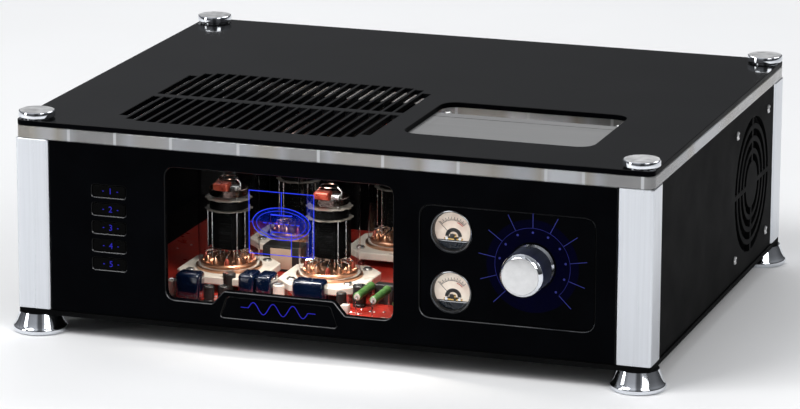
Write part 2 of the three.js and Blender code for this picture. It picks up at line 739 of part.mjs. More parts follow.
function addFan() {
  const { y, z, size } = FAN;
  const boltHoles = fanBolts().map((bolt) => polygonHole(...bolt, FAN.boltHole, COARSE_SIDES));
  const holes = [polygonHole(y, z, FAN_BORE, FINE_SIDES), ...boltHoles];
  const shell = plateRight(withHoles(rectangle(y, z, size, size, 5), holes), FAN_LEFT, FAN.depth);
  const strutThickness = 3;
  const strutHalf = 2;
  const strutEnd = FAN_BORE + 0.8;
  const mount = plateRight(roundShape(y, z, FAN_MOTOR_RADIUS), FAN_LEFT, strutThickness);
  const inside = [FAN_LEFT, FAN_LEFT + strutThickness];
  const acrossY = block(inside, [y - strutEnd, y + strutEnd], [z - strutHalf, z + strutHalf]);
  const acrossZ = block(inside, [y - strutHalf, y + strutHalf], [z - strutEnd, z + strutEnd]);
  addPart('fan_frame', joined(shell, mount, acrossY, acrossZ), blackPlastic);
  addPart('fan_rotor', rotorGeometry(), blackPlastic, 0, y, z);
}

// A hub with seven pitched blades, turning about X.
function rotorGeometry() {
  const hubLeft = FAN_LEFT + 4;
  const hubRight = FAN_RIGHT - 2;
  const middle = (hubLeft + hubRight) / 2;
  const bladeCount = 7;
  const pitchAngle = THREE.MathUtils.degToRad(52);
  const hub = plateRight(roundShape(0, 0, FAN_MOTOR_RADIUS), hubLeft, hubRight - hubLeft);
  const blades = Array.from({ length: bladeCount }, (_, index) => (
    block([-9.5, 9.5], [-0.8, 0.8], [14, 42])
      .rotateZ(pitchAngle)
      .translate(middle, 0, 0)
      .rotateX((2 * Math.PI * index) / bladeCount)
  ));
  return joined(hub, ...blades);
}

// ---------------------------------------------------------------- rear connectors

const ROCKER = { dz: 12.5, halfX: 8.6, halfZ: 6.2, tilt: 10 };
const SOCKET_MOUTH = { dz: -8, halfX: 12, halfZ: 8.4, floor: 151 };
const ROCKER_PIVOT_Y = REAR_OUTER - 1.5;

// An appliance inlet and a rocker switch bay in one moulding.
function addMainsInlet() {
  const { x, z, halfWidth, halfHeight, bodyHalfWidth, bodyHalfHeight } = INLET;
  const lipBack = REAR_OUTER + 2.5;
  const bodyFront = 147;
  const lipOutline = rectangle(x, z, 2 * halfWidth, 2 * halfHeight, 3);
  const lip = plateForward(lipOutline, lipBack, lipBack - REAR_OUTER);
  const body = block(
    [x - bodyHalfWidth, x + bodyHalfWidth],
    [bodyFront, REAR_OUTER + 0.5],
    [z - bodyHalfHeight, z + bodyHalfHeight],
  );
  const mouth = SOCKET_MOUTH;
  const mouthZ = z + mouth.dz;
  const recess = plateForward(outline([
    [x - mouth.halfX, mouthZ - mouth.halfZ, 0], [x + mouth.halfX, mouthZ - mouth.halfZ, 0],
    [x + mouth.halfX, mouthZ + mouth.halfZ - 5, 0], [x + mouth.halfX - 5, mouthZ + mouth.halfZ, 0],
    [x - mouth.halfX + 5, mouthZ + mouth.halfZ, 0], [x - mouth.halfX, mouthZ + mouth.halfZ - 5, 0],
  ]), lipBack + 1, lipBack + 1 - mouth.floor);
  const bayZ = z + ROCKER.dz;
  const bay = block(
    [x - ROCKER.halfX - 0.6, x + ROCKER.halfX + 0.6], [ROCKER_PIVOT_Y - 7, lipBack + 1],
    [bayZ - ROCKER.halfZ - 1.2, bayZ + ROCKER.halfZ + 1.2],
  );
  const pins = [[-7, -1.5], [0, 3.4], [7, -1.5]].map(([pinX, pinZ]) => (
    block(
      [x + pinX - 1, x + pinX + 1],
      [mouth.floor - 1, lipBack - 4],
      [mouthZ + pinZ - 2, mouthZ + pinZ + 2],
    )
  ));
  addPart('mains_inlet', joined(cut(joined(lip, body), recess, bay), ...pins), blackPlastic);
}

// The rocker's face is a shallow vee. It rests with its upper half pressed in.
function addPowerRocker() {
  const face = outline([
    [-ROCKER.halfZ, 4.6, 0], [0, 3, 0], [ROCKER.halfZ, 4.6, 0], [4.6, -3.4, 0], [-4.6, -3.4, 0],
  ]);
  const length = 2 * ROCKER.halfX;
  const vee = plateUp(face, -ROCKER.halfX, length).rotateY(Math.PI / 2);
  const tilted = vee.rotateX(THREE.MathUtils.degToRad(ROCKER.tilt));
  addPart('power_rocker', tilted, blackPlastic, INLET.x, ROCKER_PIVOT_Y, INLET.z + ROCKER.dz);
}

// Five pairs of phono jacks on one carrier.
function addInputJacks() {
  const { x, z, columns, pitchX, pitchZ, plateWidth, plateHeight } = JACKS;
  const plateBack = REAR_OUTER + 2;
  const jackEnd = plateBack + 10;
  const carrierFront = 150;
  const border = 5;
  const [halfWidth, halfHeight] = [plateWidth / 2, plateHeight / 2];
  const plate = block(
    [x - halfWidth, x + halfWidth], [REAR_OUTER, plateBack], [z - halfHeight, z + halfHeight],
  );
  const carrier = block(
    [x - halfWidth + border, x + halfWidth - border],
    [carrierFront, REAR_OUTER + 0.5],
    [z - halfHeight + border, z + halfHeight - border],
  );
  const barrel = [
    [0, plateBack - 0.5], [4.15, plateBack - 0.5], [4.15, jackEnd],
    [1.7, jackEnd], [1.7, plateBack + 1], [0, plateBack + 1],
  ];
  const jacks = [];
  for (let column = 0; column < columns; column += 1) {
    [-1, 1].forEach((row) => {
      const jackX = x + (column - (columns - 1) / 2) * pitchX;
      jacks.push(turnedBack(barrel, COARSE_SIDES).translate(jackX, 0, z + (row * pitchZ) / 2));
    });
  }
  addPart('input_jacks', joined(plate, carrier, ...jacks), blackPlastic);
}

// Two binding posts on an insulating plate for each channel.
function addSpeakerTerminals() {
  const { z, spread, plateWidth, plateHeight, places } = TERMINALS;
  const plateBack = REAR_OUTER + 2.5;
  const end = -CONTROL_FRONT + 0.7 + VOLUME.length;
  const post = [
    [0, 152], [3, 152], [3, plateBack + 3], [8, plateBack + 3], [8, plateBack + 13], [6.6, plateBack + 14],
    [6.6, end], [2.1, end], [2.1, end - 14], [0, end - 14],
  ];
  places.forEach(([where, x]) => {
    const outline = rectangle(x, z, plateWidth, plateHeight, 3);
    const plate = plateForward(outline, plateBack, plateBack - REAR_OUTER);
    const posts = [-1, 1].map((side) => turnedBack(post, 12).translate(x + (side * spread) / 2, 0, z));
    addPart(`speaker_terminals_${where}`, joined(plate, ...posts), gildedBrass);
  });
}

// ---------------------------------------------------------------- assembly

addBase();
addFeet();
addPillars();
addFrontPanel();
addBadgePlate();
addWindowGlass();
addControlPlate();
addButtons();
addSelectorBoard();
addMeters();
addVolumeControl();
addSidePanels();
addRearPanel();
addDeck();
addHatchCover();
addThumbNuts();
addMainBoard();
addTubes();
addPowerTransformer();
addHeatsink();
addFan();
addMainsInlet();
addPowerRocker();
addInputJacks();
addSpeakerTerminals();

export default amplifier;
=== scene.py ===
"""A tube integrated amplifier with black panels, aluminium corner pillars and a clear acrylic deck.

Sizes and places are in millimetres unless a name says otherwise. +X is right, +Y is back and +Z is up,
seen from in front of the control panel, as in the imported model.
"""

import math
import random

import bmesh
import bpy
from mathutils import Matrix, Vector


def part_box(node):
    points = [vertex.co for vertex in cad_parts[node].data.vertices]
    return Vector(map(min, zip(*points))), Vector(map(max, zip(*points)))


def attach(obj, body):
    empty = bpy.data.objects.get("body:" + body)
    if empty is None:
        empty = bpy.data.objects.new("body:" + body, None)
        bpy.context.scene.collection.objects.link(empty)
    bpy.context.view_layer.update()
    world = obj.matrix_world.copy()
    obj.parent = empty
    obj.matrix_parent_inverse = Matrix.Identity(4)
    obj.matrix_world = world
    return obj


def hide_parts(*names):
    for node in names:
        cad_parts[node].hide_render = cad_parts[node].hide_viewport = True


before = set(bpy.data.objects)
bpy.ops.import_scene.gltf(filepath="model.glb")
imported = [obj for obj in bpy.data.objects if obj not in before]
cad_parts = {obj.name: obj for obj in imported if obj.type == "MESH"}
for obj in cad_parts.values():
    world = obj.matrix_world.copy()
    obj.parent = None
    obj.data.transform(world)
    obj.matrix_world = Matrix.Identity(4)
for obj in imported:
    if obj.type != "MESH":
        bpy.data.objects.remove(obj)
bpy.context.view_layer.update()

MM = 0.001
CHASSIS = "chassis"
TURNED_STEPS = 72
SHARP_ANGLE = math.radians(32)
CORNER_STEPS = 7

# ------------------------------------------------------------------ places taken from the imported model


def box_of(node):
    """Lowest and highest corner of a CAD node, in millimetres."""
    low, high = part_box(node)
    return [value / MM for value in low], [value / MM for value in high]


def middle_of(node):
    return [(a + b) / 2 for a, b in zip(*box_of(node))]


WHERES = ["front_left", "front_right", "rear_left", "rear_right"]
FEET = [middle_of(f"foot_{where}") for where in WHERES]
BASE_TOP = box_of("base_plate")[1][2]
PANEL_LOW, PANEL_HIGH = box_of("front_panel")
PANEL_FRONT, PANEL_BACK = PANEL_LOW[1], PANEL_HIGH[1]
PILLAR_TOP = PANEL_HIGH[2]
PILLAR_SIZE = 22
PILLAR_ROUNDING = 2.2
STUD_RADIUS = 2.5
DECK_LOW, DECK_HIGH = box_of("acrylic_deck")
LID_LOW, LID_HIGH = box_of("black_top_plate")
LID_TOP = LID_HIGH[2]
NUT_HEIGHT = 4.9
BOARD_LOW, BOARD_HIGH = box_of("main_board")
BOARD_TOP = 22

WINDOW = {"x": -32, "bottom": 30, "top": 115, "half": 74.5, "rounding": 7}
BUMP = {"half_base": 43.5, "half_top": 36, "height": 8.7}
BADGE = {"half_base": 38.5, "half_top": 34, "bottom": 22, "top": 35.5}
CONTROLS = {"x": 115, "z": 70, "width": 111, "height": 71, "rounding": 8}
CONTROL_FRONT = PANEL_FRONT + 1
BUTTON = {"x": -144, "width": 22.1, "height": 7.4, "rounding": 1.7, "gap": 0.3}
BUTTON_HEIGHTS = [middle_of(f"input_button_{number}")[2] for number in range(1, 6)]
METER = {"x": 79.5, "radius": 13.1, "hole": 13.4, "drop": 3.2, "needle": 12.2, "card": -159.5}
METERS = {"upper": 89.6, "lower": 51.6}
VOLUME = {"x": 130.9, "z": 72.4, "sweep": 135, "marks": 11}
GRILLE = {"x": -66.6, "y": -71, "count": 22, "slot": 5.6, "pitch": 7.63, "bar": 7, "half": 72.3,
          "corner": 23}
HATCH = {"x": 92.5, "y": -72.5, "width": 122, "depth": 91, "rounding": 12}
FAN = {"y": 86, "z": 71, "bolt": 41.25, "hub": 15.4, "slot": 4.6, "bar": 3.55, "spoke": 3.6, "rings": 4}
REAR_PLATE = 166.5
REAR_HEIGHT = 72
JACKS = {"x": -118, "columns": 5, "pitch": 20, "row": 10}
INLET_X = 146
TUBES = {"front_left": (-94, -86), "front_right": (-26, -86), "rear_left": (-78, 2), "rear_right": (-10, 2)}
SOCKET = {"half": 29, "flat": 17, "bottom": 28, "top": 33, "screw": 19}
TUBE = {"radius": 19.5, "shoulder": 17.5, "neck": 7.2, "dome": 13.2, "plate_low": 45, "plate_high": 70.6}

# ------------------------------------------------------------------ materials


class Nodes:
    """A node tree, with short calls for the nodes used here."""

    def __init__(self, tree):
        self.tree = tree

    def feed(self, node, **inputs):
        """Each input is a number, a colour or the output of another node."""
        for name, value in inputs.items():
            socket = node.inputs[name.replace("_", " ")]
            if isinstance(value, bpy.types.NodeSocket):
                self.tree.links.new(value, socket)
            else:
                socket.default_value = value

    def node(self, kind, output, options=None, **inputs):
        node = self.tree.nodes.new("ShaderNode" + kind)
        for option, value in (options or {}).items():
            setattr(node, option, value)
        self.feed(node, **inputs)
        return node.outputs[output]

    def ramp(self, value, stops):
        ramp = self.tree.nodes.new("ShaderNodeValToRGB")
        elements = ramp.color_ramp.elements
        for element, (position, colour) in zip(elements, (stops[0], stops[-1])):
            element.position = position
            element.color = (*colour, 1)
        for position, colour in stops[1:-1]:
            elements.new(position).color = (*colour, 1)
        self.feed(ramp, Fac=value)
        return ramp.outputs["Color"]


class Graph(Nodes):
    """A material that drifts between two states with the noise at each place."""

    def __init__(self, name):
        self.material = bpy.data.materials.new(name)
        self.material.use_nodes = True
        super().__init__(self.material.node_tree)
        self.shader = self.tree.nodes["Principled BSDF"]
        self.place = self.node("TexCoord", "Object")

    def noise(self, scale, stretch=(1, 1, 1), detail=3):
        place = self.node("Mapping", "Vector", Vector=self.place, Scale=stretch)
        return self.node("TexNoise", "Fac", Vector=place, Scale=scale, Detail=detail)

    def shades(self, drift, dark, light):
        return self.ramp(drift, [(0.3, dark), (0.7, light)])

    def spread(self, value, low, high):
        return self.node("MapRange", "Result", Value=value, From_Min=0.3, From_Max=0.7, To_Min=low,
                         To_Max=high)

    def done(self, **inputs):
        self.feed(self.shader, **inputs)
        return self.material


def grey(level, tint=(1, 1, 1)):
    return tuple(level * part for part in tint)


def greys(dark, light, tint=(1, 1, 1)):
    return grey(dark, tint), grey(light, tint)


def finish(name, colours, rough, scale=90, bump=None, stretch=(1, 1, 1), metal=0.0, shine=0.5, coat=0.0,
           **fixed):
    """Colour and roughness drift with one noise. bump is the strength, depth and scale of a finer one."""
    graph = Graph(name)
    drift = graph.noise(scale, stretch)
    fixed.update(Metallic=metal, Specular_IOR_Level=shine, Coat_Weight=coat)
    if bump:
        strength, depth, fine = bump
        fixed["Normal"] = graph.node("Bump", "Normal", Strength=strength, Distance=depth * MM,
                                     Height=graph.noise(fine, stretch, 2))
    return graph.done(Base_Color=graph.shades(drift, *colours), Roughness=graph.spread(drift, *rough),
                      **fixed)


def glass(name, tint, clear, edge, rough=0.02):
    """Clear in front and mirror-like where it is seen edge on; light still passes straight through."""
    graph = Graph(name)
    fresnel = graph.node("Fresnel", "Fac", IOR=1.5)
    cover = graph.node("MapRange", "Result", Value=fresnel, From_Min=0.04, From_Max=0.6, To_Min=clear,
                       To_Max=edge)
    inward = graph.node("NewGeometry", "Backfacing")
    alpha = graph.node("Mix", "Result", Factor=inward, A=cover, B=0)
    drift = graph.noise(40)
    return graph.done(Alpha=alpha, Base_Color=graph.shades(drift, grey(0.92, tint), tint), Metallic=1.0,
                      Roughness=graph.spread(drift, rough, rough + 0.02))


def glow(name, colour, strength, dull=0.05):
    """A lit marking, a little uneven along its length."""
    graph = Graph(name)
    drift = graph.noise(260)
    return graph.done(Base_Color=graph.shades(drift, *greys(dull, dull * 2, colour)),
                      Emission_Color=graph.shades(drift, grey(0.8, colour), colour),
                      Roughness=graph.spread(drift, 0.5, 0.6), Emission_Strength=strength,
                      Specular_IOR_Level=0.02)


def acrylic_finish():
    """Clear acrylic whose sawn edge carries painted light: lengths of brighter and darker tone are painted
    refraction of things behind it, and fine bright upright lines are painted glints.
    """
    graph = Graph("clear_acrylic")
    split = graph.node("SeparateXYZ", "X", Vector=graph.place)
    # marks is the distance to upright lines spaced along X, which turn white as painted glints.
    marks = graph.node("TexVoronoi", "Distance",
                       {"voronoi_dimensions": "1D", "feature": "DISTANCE_TO_EDGE"},
                       Scale=24, W=split)
    lengths = graph.noise(17, (1, 0.4, 0.001), 1)
    shade = graph.ramp(lengths, [(0.40, grey(0.42)), (0.47, grey(0.62, COOL)), (0.55, grey(0.50, WARM)),
                                 (0.62, grey(0.88, COOL))])
    painted_glint = graph.ramp(marks, [(0.015, (1, 1, 1)), (0.03, (0, 0, 0))])
    colour = graph.node("Mix", "Result", {"data_type": "RGBA"}, Factor=painted_glint, A=shade,
                        B=(0.95, 0.97, 1.0, 1))
    return graph.done(Base_Color=colour, Roughness=graph.spread(graph.noise(60), 0.08, 0.2),
                      Transmission_Weight=0.6, IOR=1.49)


def haze_finish():
    """A faint, see-through band of light."""
    graph = Graph("blue_haze")
    drift = graph.noise(180)
    return graph.done(Base_Color=graph.shades(drift, (0, 0.01, 0.2), (0, 0.02, 0.4)),
                      Emission_Color=graph.shades(drift, (0, 0.03, 0.7), (0, 0.05, 1.0)),
                      Alpha=graph.spread(drift, 0.04, 0.2), Emission_Strength=0.16, Roughness=0.5,
                      Specular_IOR_Level=0.02)


def meter_card_finish():
    """Cream paper that the lamp behind it lights a little."""
    graph = Graph("meter_card")
    drift = graph.noise(70)
    colour = graph.shades(drift, (0.56, 0.42, 0.35), (0.88, 0.80, 0.69))
    return graph.done(Base_Color=colour, Emission_Color=colour, Roughness=graph.spread(drift, 0.5, 0.6),
                      Emission_Strength=0.25)


UPRIGHT = (1, 1, 0.02)
SIDEWAYS = (0.02, 1, 1)
ROUND = (0.6, 0.02, 0.6)
COOL = (0.92, 0.95, 1.0)
WARM = (1.0, 0.93, 0.82)

F = {
    "panel": finish("panel_black", ((0.0004, 0.0005, 0.0009), (0.001, 0.0012, 0.0018)), (0.3, 0.4), 30,
                    (0.08, 0.02, 1500), shine=0.012),
    # The next two finishes are lit and shaded copies of one chamfer: the first is a painted highlight for
    # chamfers facing up, the second a painted shade for the rest.
    "edge": finish("lit_edge_highlight", greys(0.03, 0.06, COOL), (0.2, 0.3), 120, shine=0.4),
    "soft_edge": finish("soft_edge", greys(0.003, 0.005, COOL), (0.3, 0.4), 120, shine=0.12),
    "side": finish("side_black", greys(0.002, 0.0045, COOL), (0.5, 0.6), 40, (0.15, 0.03, 1500),
                   shine=0.013),
    "lid": finish("lid_gloss_black", greys(0.003, 0.005, COOL), (0.07, 0.13), 14, (0.02, 0.02, 500),
                  shine=0.085),
    "pillar": finish("pillar_brushed", greys(0.71, 0.77, COOL), (0.27, 0.33), 700, (0.06, 0.02, 1600),
                     UPRIGHT, 1.0),
    "hatch": finish("hatch_satin", greys(0.185, 0.24), (0.45, 0.55), 500, (0.1, 0.03, 1500), SIDEWAYS, 0.5),
    "chrome": finish("polished_chrome", greys(0.78, 0.86, COOL), (0.05, 0.1), 60, (0.02, 0.03, 300),
                     metal=1.0),
    "knob_side": finish("turned_knob_side", ((0.56, 0.62, 0.78), (0.66, 0.73, 0.92)), (0.28, 0.34), 700,
                        (0.1, 0.02, 1800), ROUND, 1.0),
    "bezel": finish("dark_chrome", greys(0.10, 0.2, COOL), (0.1, 0.18), 120, (0.03, 0.02, 900), metal=1.0),
    "meter_window": finish("meter_lower_window", ((0.003, 0.006, 0.010), (0.006, 0.010, 0.018)),
                           (0.15, 0.25),
                           shine=0.3),
    "satin": finish("satin_aluminium", greys(0.70, 0.80), (0.3, 0.4), 220, (0.08, 0.02, 2000), metal=1.0),
    "window": glass("window_pane", (0.9, 0.94, 1.0), 0.0, 0.5),
    "bulb": glass("tube_glass", (0.95, 0.97, 1.0), 0.002, 1.3),
    "lens": glass("meter_lens", (1.0, 0.98, 0.94), 0.0, 0.6),
    "plastic": finish("black_plastic", greys(0.010, 0.017), (0.38, 0.5), 120, (0.2, 0.04, 1800), shine=0.4),
    "key": finish("key_black", greys(0.0006, 0.0012, COOL), (0.25, 0.35), 160, shine=0.025),
    "blue": glow("blue_light", (0.03, 0.06, 1.0), 1.0),
    "blue_text": glow("blue_lettering", (0.06, 0.05, 0.9), 0.4),
    "blue_dim": glow("blue_light_dim", (0.10, 0.11, 0.75), 0.07),
    "scale": glow("scale_light", (0.14, 0.16, 0.85), 0.14),
    # A faint blue glow for the panel round the volume scale: painted light spilling from the lit marks.
    "wash": glow("scale_glow_spill", (0.0, 0.0, 1.0), 0.006, 0.001),
    "board": finish("red_board", ((0.36, 0.02, 0.012), (0.52, 0.045, 0.03)), (0.25, 0.4), 70,
                    (0.15, 0.1, 240),
                    coat=0.3),
    "green_board": finish("green_board", ((0.008, 0.06, 0.02), (0.015, 0.10, 0.03)), (0.3, 0.4), 90,
                          (0.1, 0.05, 400)),
    "ceramic": finish("white_ceramic", greys(0.66, 0.80, WARM), (0.25, 0.4), 80, (0.1, 0.05, 600),
                      coat=0.3),
    "plate": finish("tube_plate", greys(0.0006, 0.002, COOL), (0.32, 0.45), 120, (0.25, 0.1, 420),
                    shine=0.02),
    "mica": finish("mica", greys(0.012, 0.10, WARM), (0.25, 0.4), 200),
    "copper": finish("copper", ((0.48, 0.22, 0.12), (0.70, 0.42, 0.28)), (0.26, 0.4), 150, (0.1, 0.05, 700),
                     metal=1.0),
    "getter": finish("getter_flash", ((0.07, 0.045, 0.035), (0.15, 0.11, 0.10)), (0.12, 0.3), 70,
                     metal=1.0),
    # A reddish-brown, half-metallic finish for the block at the top of each tube's electrodes and for every
    # third seal.
    "heated": finish("reddish_brown_metal", ((0.14, 0.016, 0.01), (0.30, 0.06, 0.035)), (0.25, 0.4), 260,
                     (0.15, 0.08, 600), metal=0.5),
    "rod": finish("nickel_rod", greys(0.6, 0.75), (0.2, 0.3), 300, metal=1.0),
    "capacitor": finish("blue_capacitor", ((0.001, 0.004, 0.014), (0.002, 0.007, 0.026)), (0.12, 0.2), 90,
                        (0.08, 0.1, 150), coat=1.0, Coat_Roughness=0.04),
    "resistor": finish("green_resistor", ((0.045, 0.12, 0.03), (0.08, 0.19, 0.05)), (0.35, 0.5), 160,
                       (0.2, 0.08, 500)),
    "pale": finish("pale_plastic", greys(0.55, 0.68, WARM), (0.35, 0.5), 120, (0.1, 0.05, 600)),
    "cover": finish("relay_cover", ((0.34, 0.24, 0.18), (0.46, 0.34, 0.26)), (0.3, 0.45), 90,
                    (0.08, 0.05, 500)),
    "solder": finish("tinned_metal", greys(0.55, 0.72), (0.22, 0.38), 260, metal=1.0),
    "winding": finish("transformer_black", greys(0.012, 0.024, COOL), (0.35, 0.5), 60, (0.3, 0.15, 500)),
    "gold": finish("gilded_brass", ((0.72, 0.46, 0.14), (0.86, 0.60, 0.24)), (0.14, 0.26), 200,
                   (0.05, 0.03, 900),
                   metal=1.0),
    "red_plastic": finish("red_plastic", ((0.42, 0.012, 0.01), (0.55, 0.03, 0.02)), (0.3, 0.42), 150,
                          (0.1, 0.05, 800)),
    "needle": finish("needle_black", greys(0.008, 0.02), (0.4, 0.5), 400),
    "acrylic": acrylic_finish(),
    "haze": haze_finish(),
    "card": meter_card_finish(),
}

# ------------------------------------------------------------------ shapes

AXES = {
    "up": Matrix(((1, 0, 0), (0, 1, 0), (0, 0, 1))).to_4x4(),
    "front": Matrix(((1, 0, 0), (0, 0, -1), (0, 1, 0))).to_4x4(),
    "right": Matrix(((0, 0, 1), (1, 0, 0), (0, 1, 0))).to_4x4(),
}


def rounded_path(corners, steps=CORNER_STEPS):
    """Points round a closed outline of (x, y, rounding) corners."""
    points = []
    for index, (x, y, rounding) in enumerate(corners):
        if rounding == 0:
            points.append((x, y))
            continue
        corner = Vector((x, y))
        before, after = (corner + (Vector(corners[other % len(corners)][:2]) - corner).normalized() * rounding
                         for other in (index - 1, index + 1))
        for step in range(steps + 1):
            share = step / steps
            curve = before * (1 - share) ** 2 + corner * 2 * share * (1 - share) + after * share**2
            points.append((curve.x, curve.y))
    return points


def rectangle(x, y, width, height, rounding=0.0):
    left, right, low, high = x - width / 2, x + width / 2, y - height / 2, y + height / 2
    corners = [(left, low), (right, low), (right, high), (left, high)]
    return rounded_path([(*corner, rounding) for corner in corners])


def circle(x, y, radius, steps=48, start=0.0, end=2 * math.pi):
    full = abs(end - start - 2 * math.pi) < 1e-6
    count = steps if full else steps + 1
    angles = [start + (end - start) * index / steps for index in range(count)]
    return [(x + radius * math.cos(angle), y + radius * math.sin(angle)) for angle in angles]


def four(half_u, half_v):
    """The corners of a rectangle about the origin."""
    return [(u, v) for u in (-half_u, half_u) for v in (-half_v, half_v)]


def add_object(name, data):
    thing = bpy.data.objects.new(name, data)
    bpy.context.scene.collection.objects.link(thing)
    return thing


def mesh_of_curve(curve):
    """The filled shape of a curve, which is then deleted."""
    holder = add_object("outline", curve)
    mesh = bpy.data.meshes.new_from_object(holder.evaluated_get(bpy.context.evaluated_depsgraph_get()))
    part = bmesh.new()
    part.from_mesh(mesh)
    bpy.data.objects.remove(holder)
    bpy.data.curves.remove(curve)
    bpy.data.meshes.remove(mesh)
    return part


class Shape:
    """One piece's mesh, added to part by part. Each part is placed from the point last given to at().

    along is the way that turned parts and plates face. paint picks one of the piece's finishes.
    """

    def __init__(self, along="up"):
        self.whole = bmesh.new()
        self.along = along
        self.origin = (0, 0, 0)

    def at(self, x, y, z=0.0):
        self.origin = (x, y, z)
        return self

    def take(self, part, paint=0):
        for face in part.faces:
            if paint is not None:
                face.material_index = paint
            face.smooth = True
        bmesh.ops.translate(part, vec=self.origin, verts=part.verts[:])
        mesh = bpy.data.meshes.new("part")
        part.to_mesh(mesh)
        part.free()
        self.whole.from_mesh(mesh)
        bpy.data.meshes.remove(mesh)
        return self

    def box(self, low, high, bevel=0.0, segments=2, paint=0, turn=0.0, spin=0.0):
        """turn is about the box's own upright axis and spin about the origin's Y axis, in degrees."""
        part = bmesh.new()
        size = [b - a for a, b in zip(low, high)]
        middle = Matrix.Translation([(a + b) / 2 for a, b in zip(low, high)])
        place = Matrix.Rotation(math.radians(spin), 4,
                                "Y") @ middle @ Matrix.Rotation(math.radians(turn), 4, "Z")
        bmesh.ops.create_cube(part, size=1, matrix=Matrix.Diagonal((*size, 1)))
        if bevel > 0:
            bmesh.ops.bevel(part, geom=part.edges[:], offset=bevel, segments=segments, profile=0.5,
                            affect="EDGES", clamp_overlap=True)
        bmesh.ops.transform(part, matrix=place, verts=part.verts[:])
        return self.take(part, paint)

    def turned(self, profile, paint=0, steps=TURNED_STEPS, along=None):
        """A turned piece from (radius, height) points. Heights run along +Z, -Y or +X."""
        part = bmesh.new()
        rings = []
        for radius, height in profile:
            points = [(0, 0)] if radius < 1e-6 else circle(0, 0, radius, steps)
            rings.append([part.verts.new((x, y, height)) for x, y in points])
        for lower, upper in zip(rings, rings[1:]):
            for index in range(steps):
                following = (index + 1) % steps
                ends = [lower[index % len(lower)], lower[following % len(lower)],
                        upper[following % len(upper)], upper[index % len(upper)]]
                corners = list(dict.fromkeys(ends))
                if len(corners) > 2:
                    part.faces.new(corners)
        bmesh.ops.recalc_face_normals(part, faces=part.faces[:])
        bmesh.ops.transform(part, matrix=AXES[along or self.along], verts=part.verts[:])
        return self.take(part, paint)

    def plate(self, outlines, low, high, chamfer=0.0, paint=0, edge=None, wall=None):
        """A flat plate with holes between two heights along +Z, -Y (given as y values) or +X."""
        curve = bpy.data.curves.new("plate", "CURVE")
        curve.dimensions = "2D"
        curve.fill_mode = "BOTH"
        curve.extrude = abs(high - low) / 2 - chamfer
        curve.bevel_depth = chamfer
        curve.bevel_resolution = 0
        curve.offset = -chamfer
        for outline in outlines:
            spline = curve.splines.new("POLY")
            spline.points.add(len(outline) - 1)
            for point, (u, v) in zip(spline.points, outline):
                point.co = (u, v, 0, 1)
            spline.use_cyclic_u = True
        part = mesh_of_curve(curve)
        bmesh.ops.remove_doubles(part, verts=part.verts[:], dist=0.001)
        bmesh.ops.recalc_face_normals(part, faces=part.faces[:])
        for face in part.faces:
            face.material_index = paint
            # Chamfers facing local +Y, which is up on front and right plates, take finish number edge as a
            # painted highlight; the others take edge + 1 as a painted shade.
            if edge is not None and 0.2 < abs(face.normal.z) < 0.95:
                face.material_index = edge if face.normal.y > 0.15 else edge + 1
            elif wall is not None and abs(face.normal.z) <= 0.2:
                face.material_index = wall
        middle = (low + high) / 2
        offset = {"up": (0, 0, middle), "front": (0, middle, 0), "right": (middle, 0, 0)}[self.along]
        bmesh.ops.transform(part, matrix=Matrix.Translation(offset) @ AXES[self.along], verts=part.verts[:])
        return self.take(part, None)

    def letter(self, text, size):
        """A character in flat, slightly raised geometry, centred on the origin."""
        curve = bpy.data.curves.new("letter", "FONT")
        curve.body = text
        curve.size = size
        curve.align_x = "CENTER"
        curve.align_y = "CENTER"
        curve.extrude = 0.05
        part = mesh_of_curve(curve)
        bmesh.ops.transform(part, matrix=AXES[self.along], verts=part.verts[:])
        return self.take(part)

    def tube(self, points, radius, paint=0, sides=8, closed=False):
        """A wire through points, with flat ends unless it is closed."""
        part = bmesh.new()
        path = [Vector(point) for point in points]
        count = len(path)
        rings = []
        normal = None
        for index, point in enumerate(path):
            ahead = path[(index + 1) % count] if closed or index + 1 < count else point
            behind = path[index - 1] if closed or index > 0 else point
            along = (ahead - behind).normalized()
            if normal is None:
                helper = Vector((0, 0, 1)) if abs(along.z) < 0.9 else Vector((1, 0, 0))
                normal = along.cross(helper).normalized()
            normal = (normal - along * normal.dot(along)).normalized()
            side = along.cross(normal)
            rings.append([part.verts.new(point + (normal * u + side * v)) for u,
                          v in circle(0, 0, radius, sides)])
        pairs = list(zip(rings, rings[1:])) + ([(rings[-1], rings[0])] if closed else [])
        for ring, following in pairs:
            for index in range(sides):
                after = (index + 1) % sides
                part.faces.new((ring[index], ring[after], following[after], following[index]))
        if not closed:
            part.faces.new(rings[0][::-1])
            part.faces.new(rings[-1])
        bmesh.ops.recalc_face_normals(part, faces=part.faces[:])
        return self.take(part, paint)

    def show(self, name, finishes, node=None, slot=None, body=CHASSIS):
        """Makes the piece. finishes are keys of F, and node is the CAD node that it stands for."""
        bmesh.ops.scale(self.whole, vec=(MM, MM, MM), verts=self.whole.verts[:])
        mesh = bpy.data.meshes.new(name)
        self.whole.to_mesh(mesh)
        self.whole.free()
        mesh.set_sharp_from_angle(angle=SHARP_ANGLE)
        for key in finishes.split():
            mesh.materials.append(F[key])
        piece = add_object(name, mesh)
        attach(piece, body)
        if node:
            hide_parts(node)


# ------------------------------------------------------------------ case

def pillars():
    for where, foot in zip(WHERES, FEET):
        low, high = box_of(f"pillar_{where}")
        x, y = (math.copysign(DECK_HIGH[axis] - PILLAR_SIZE / 2, low[axis]) for axis in (0, 1))
        shape = Shape().plate([rectangle(x, y, PILLAR_SIZE, PILLAR_SIZE, PILLAR_ROUNDING)], low[2],
                              PILLAR_TOP, 0.5)
        stud = [(0, PILLAR_TOP - 1), (STUD_RADIUS, PILLAR_TOP - 1), (STUD_RADIUS, high[2] - 0.5),
                (STUD_RADIUS - 0.5, high[2]), (0, high[2])]
        shape.at(foot[0], foot[1]).turned(stud, 1, 32)
        shape.show(f"corner_pillar_{where}", "pillar chrome", f"pillar_{where}", "brushed_aluminium")


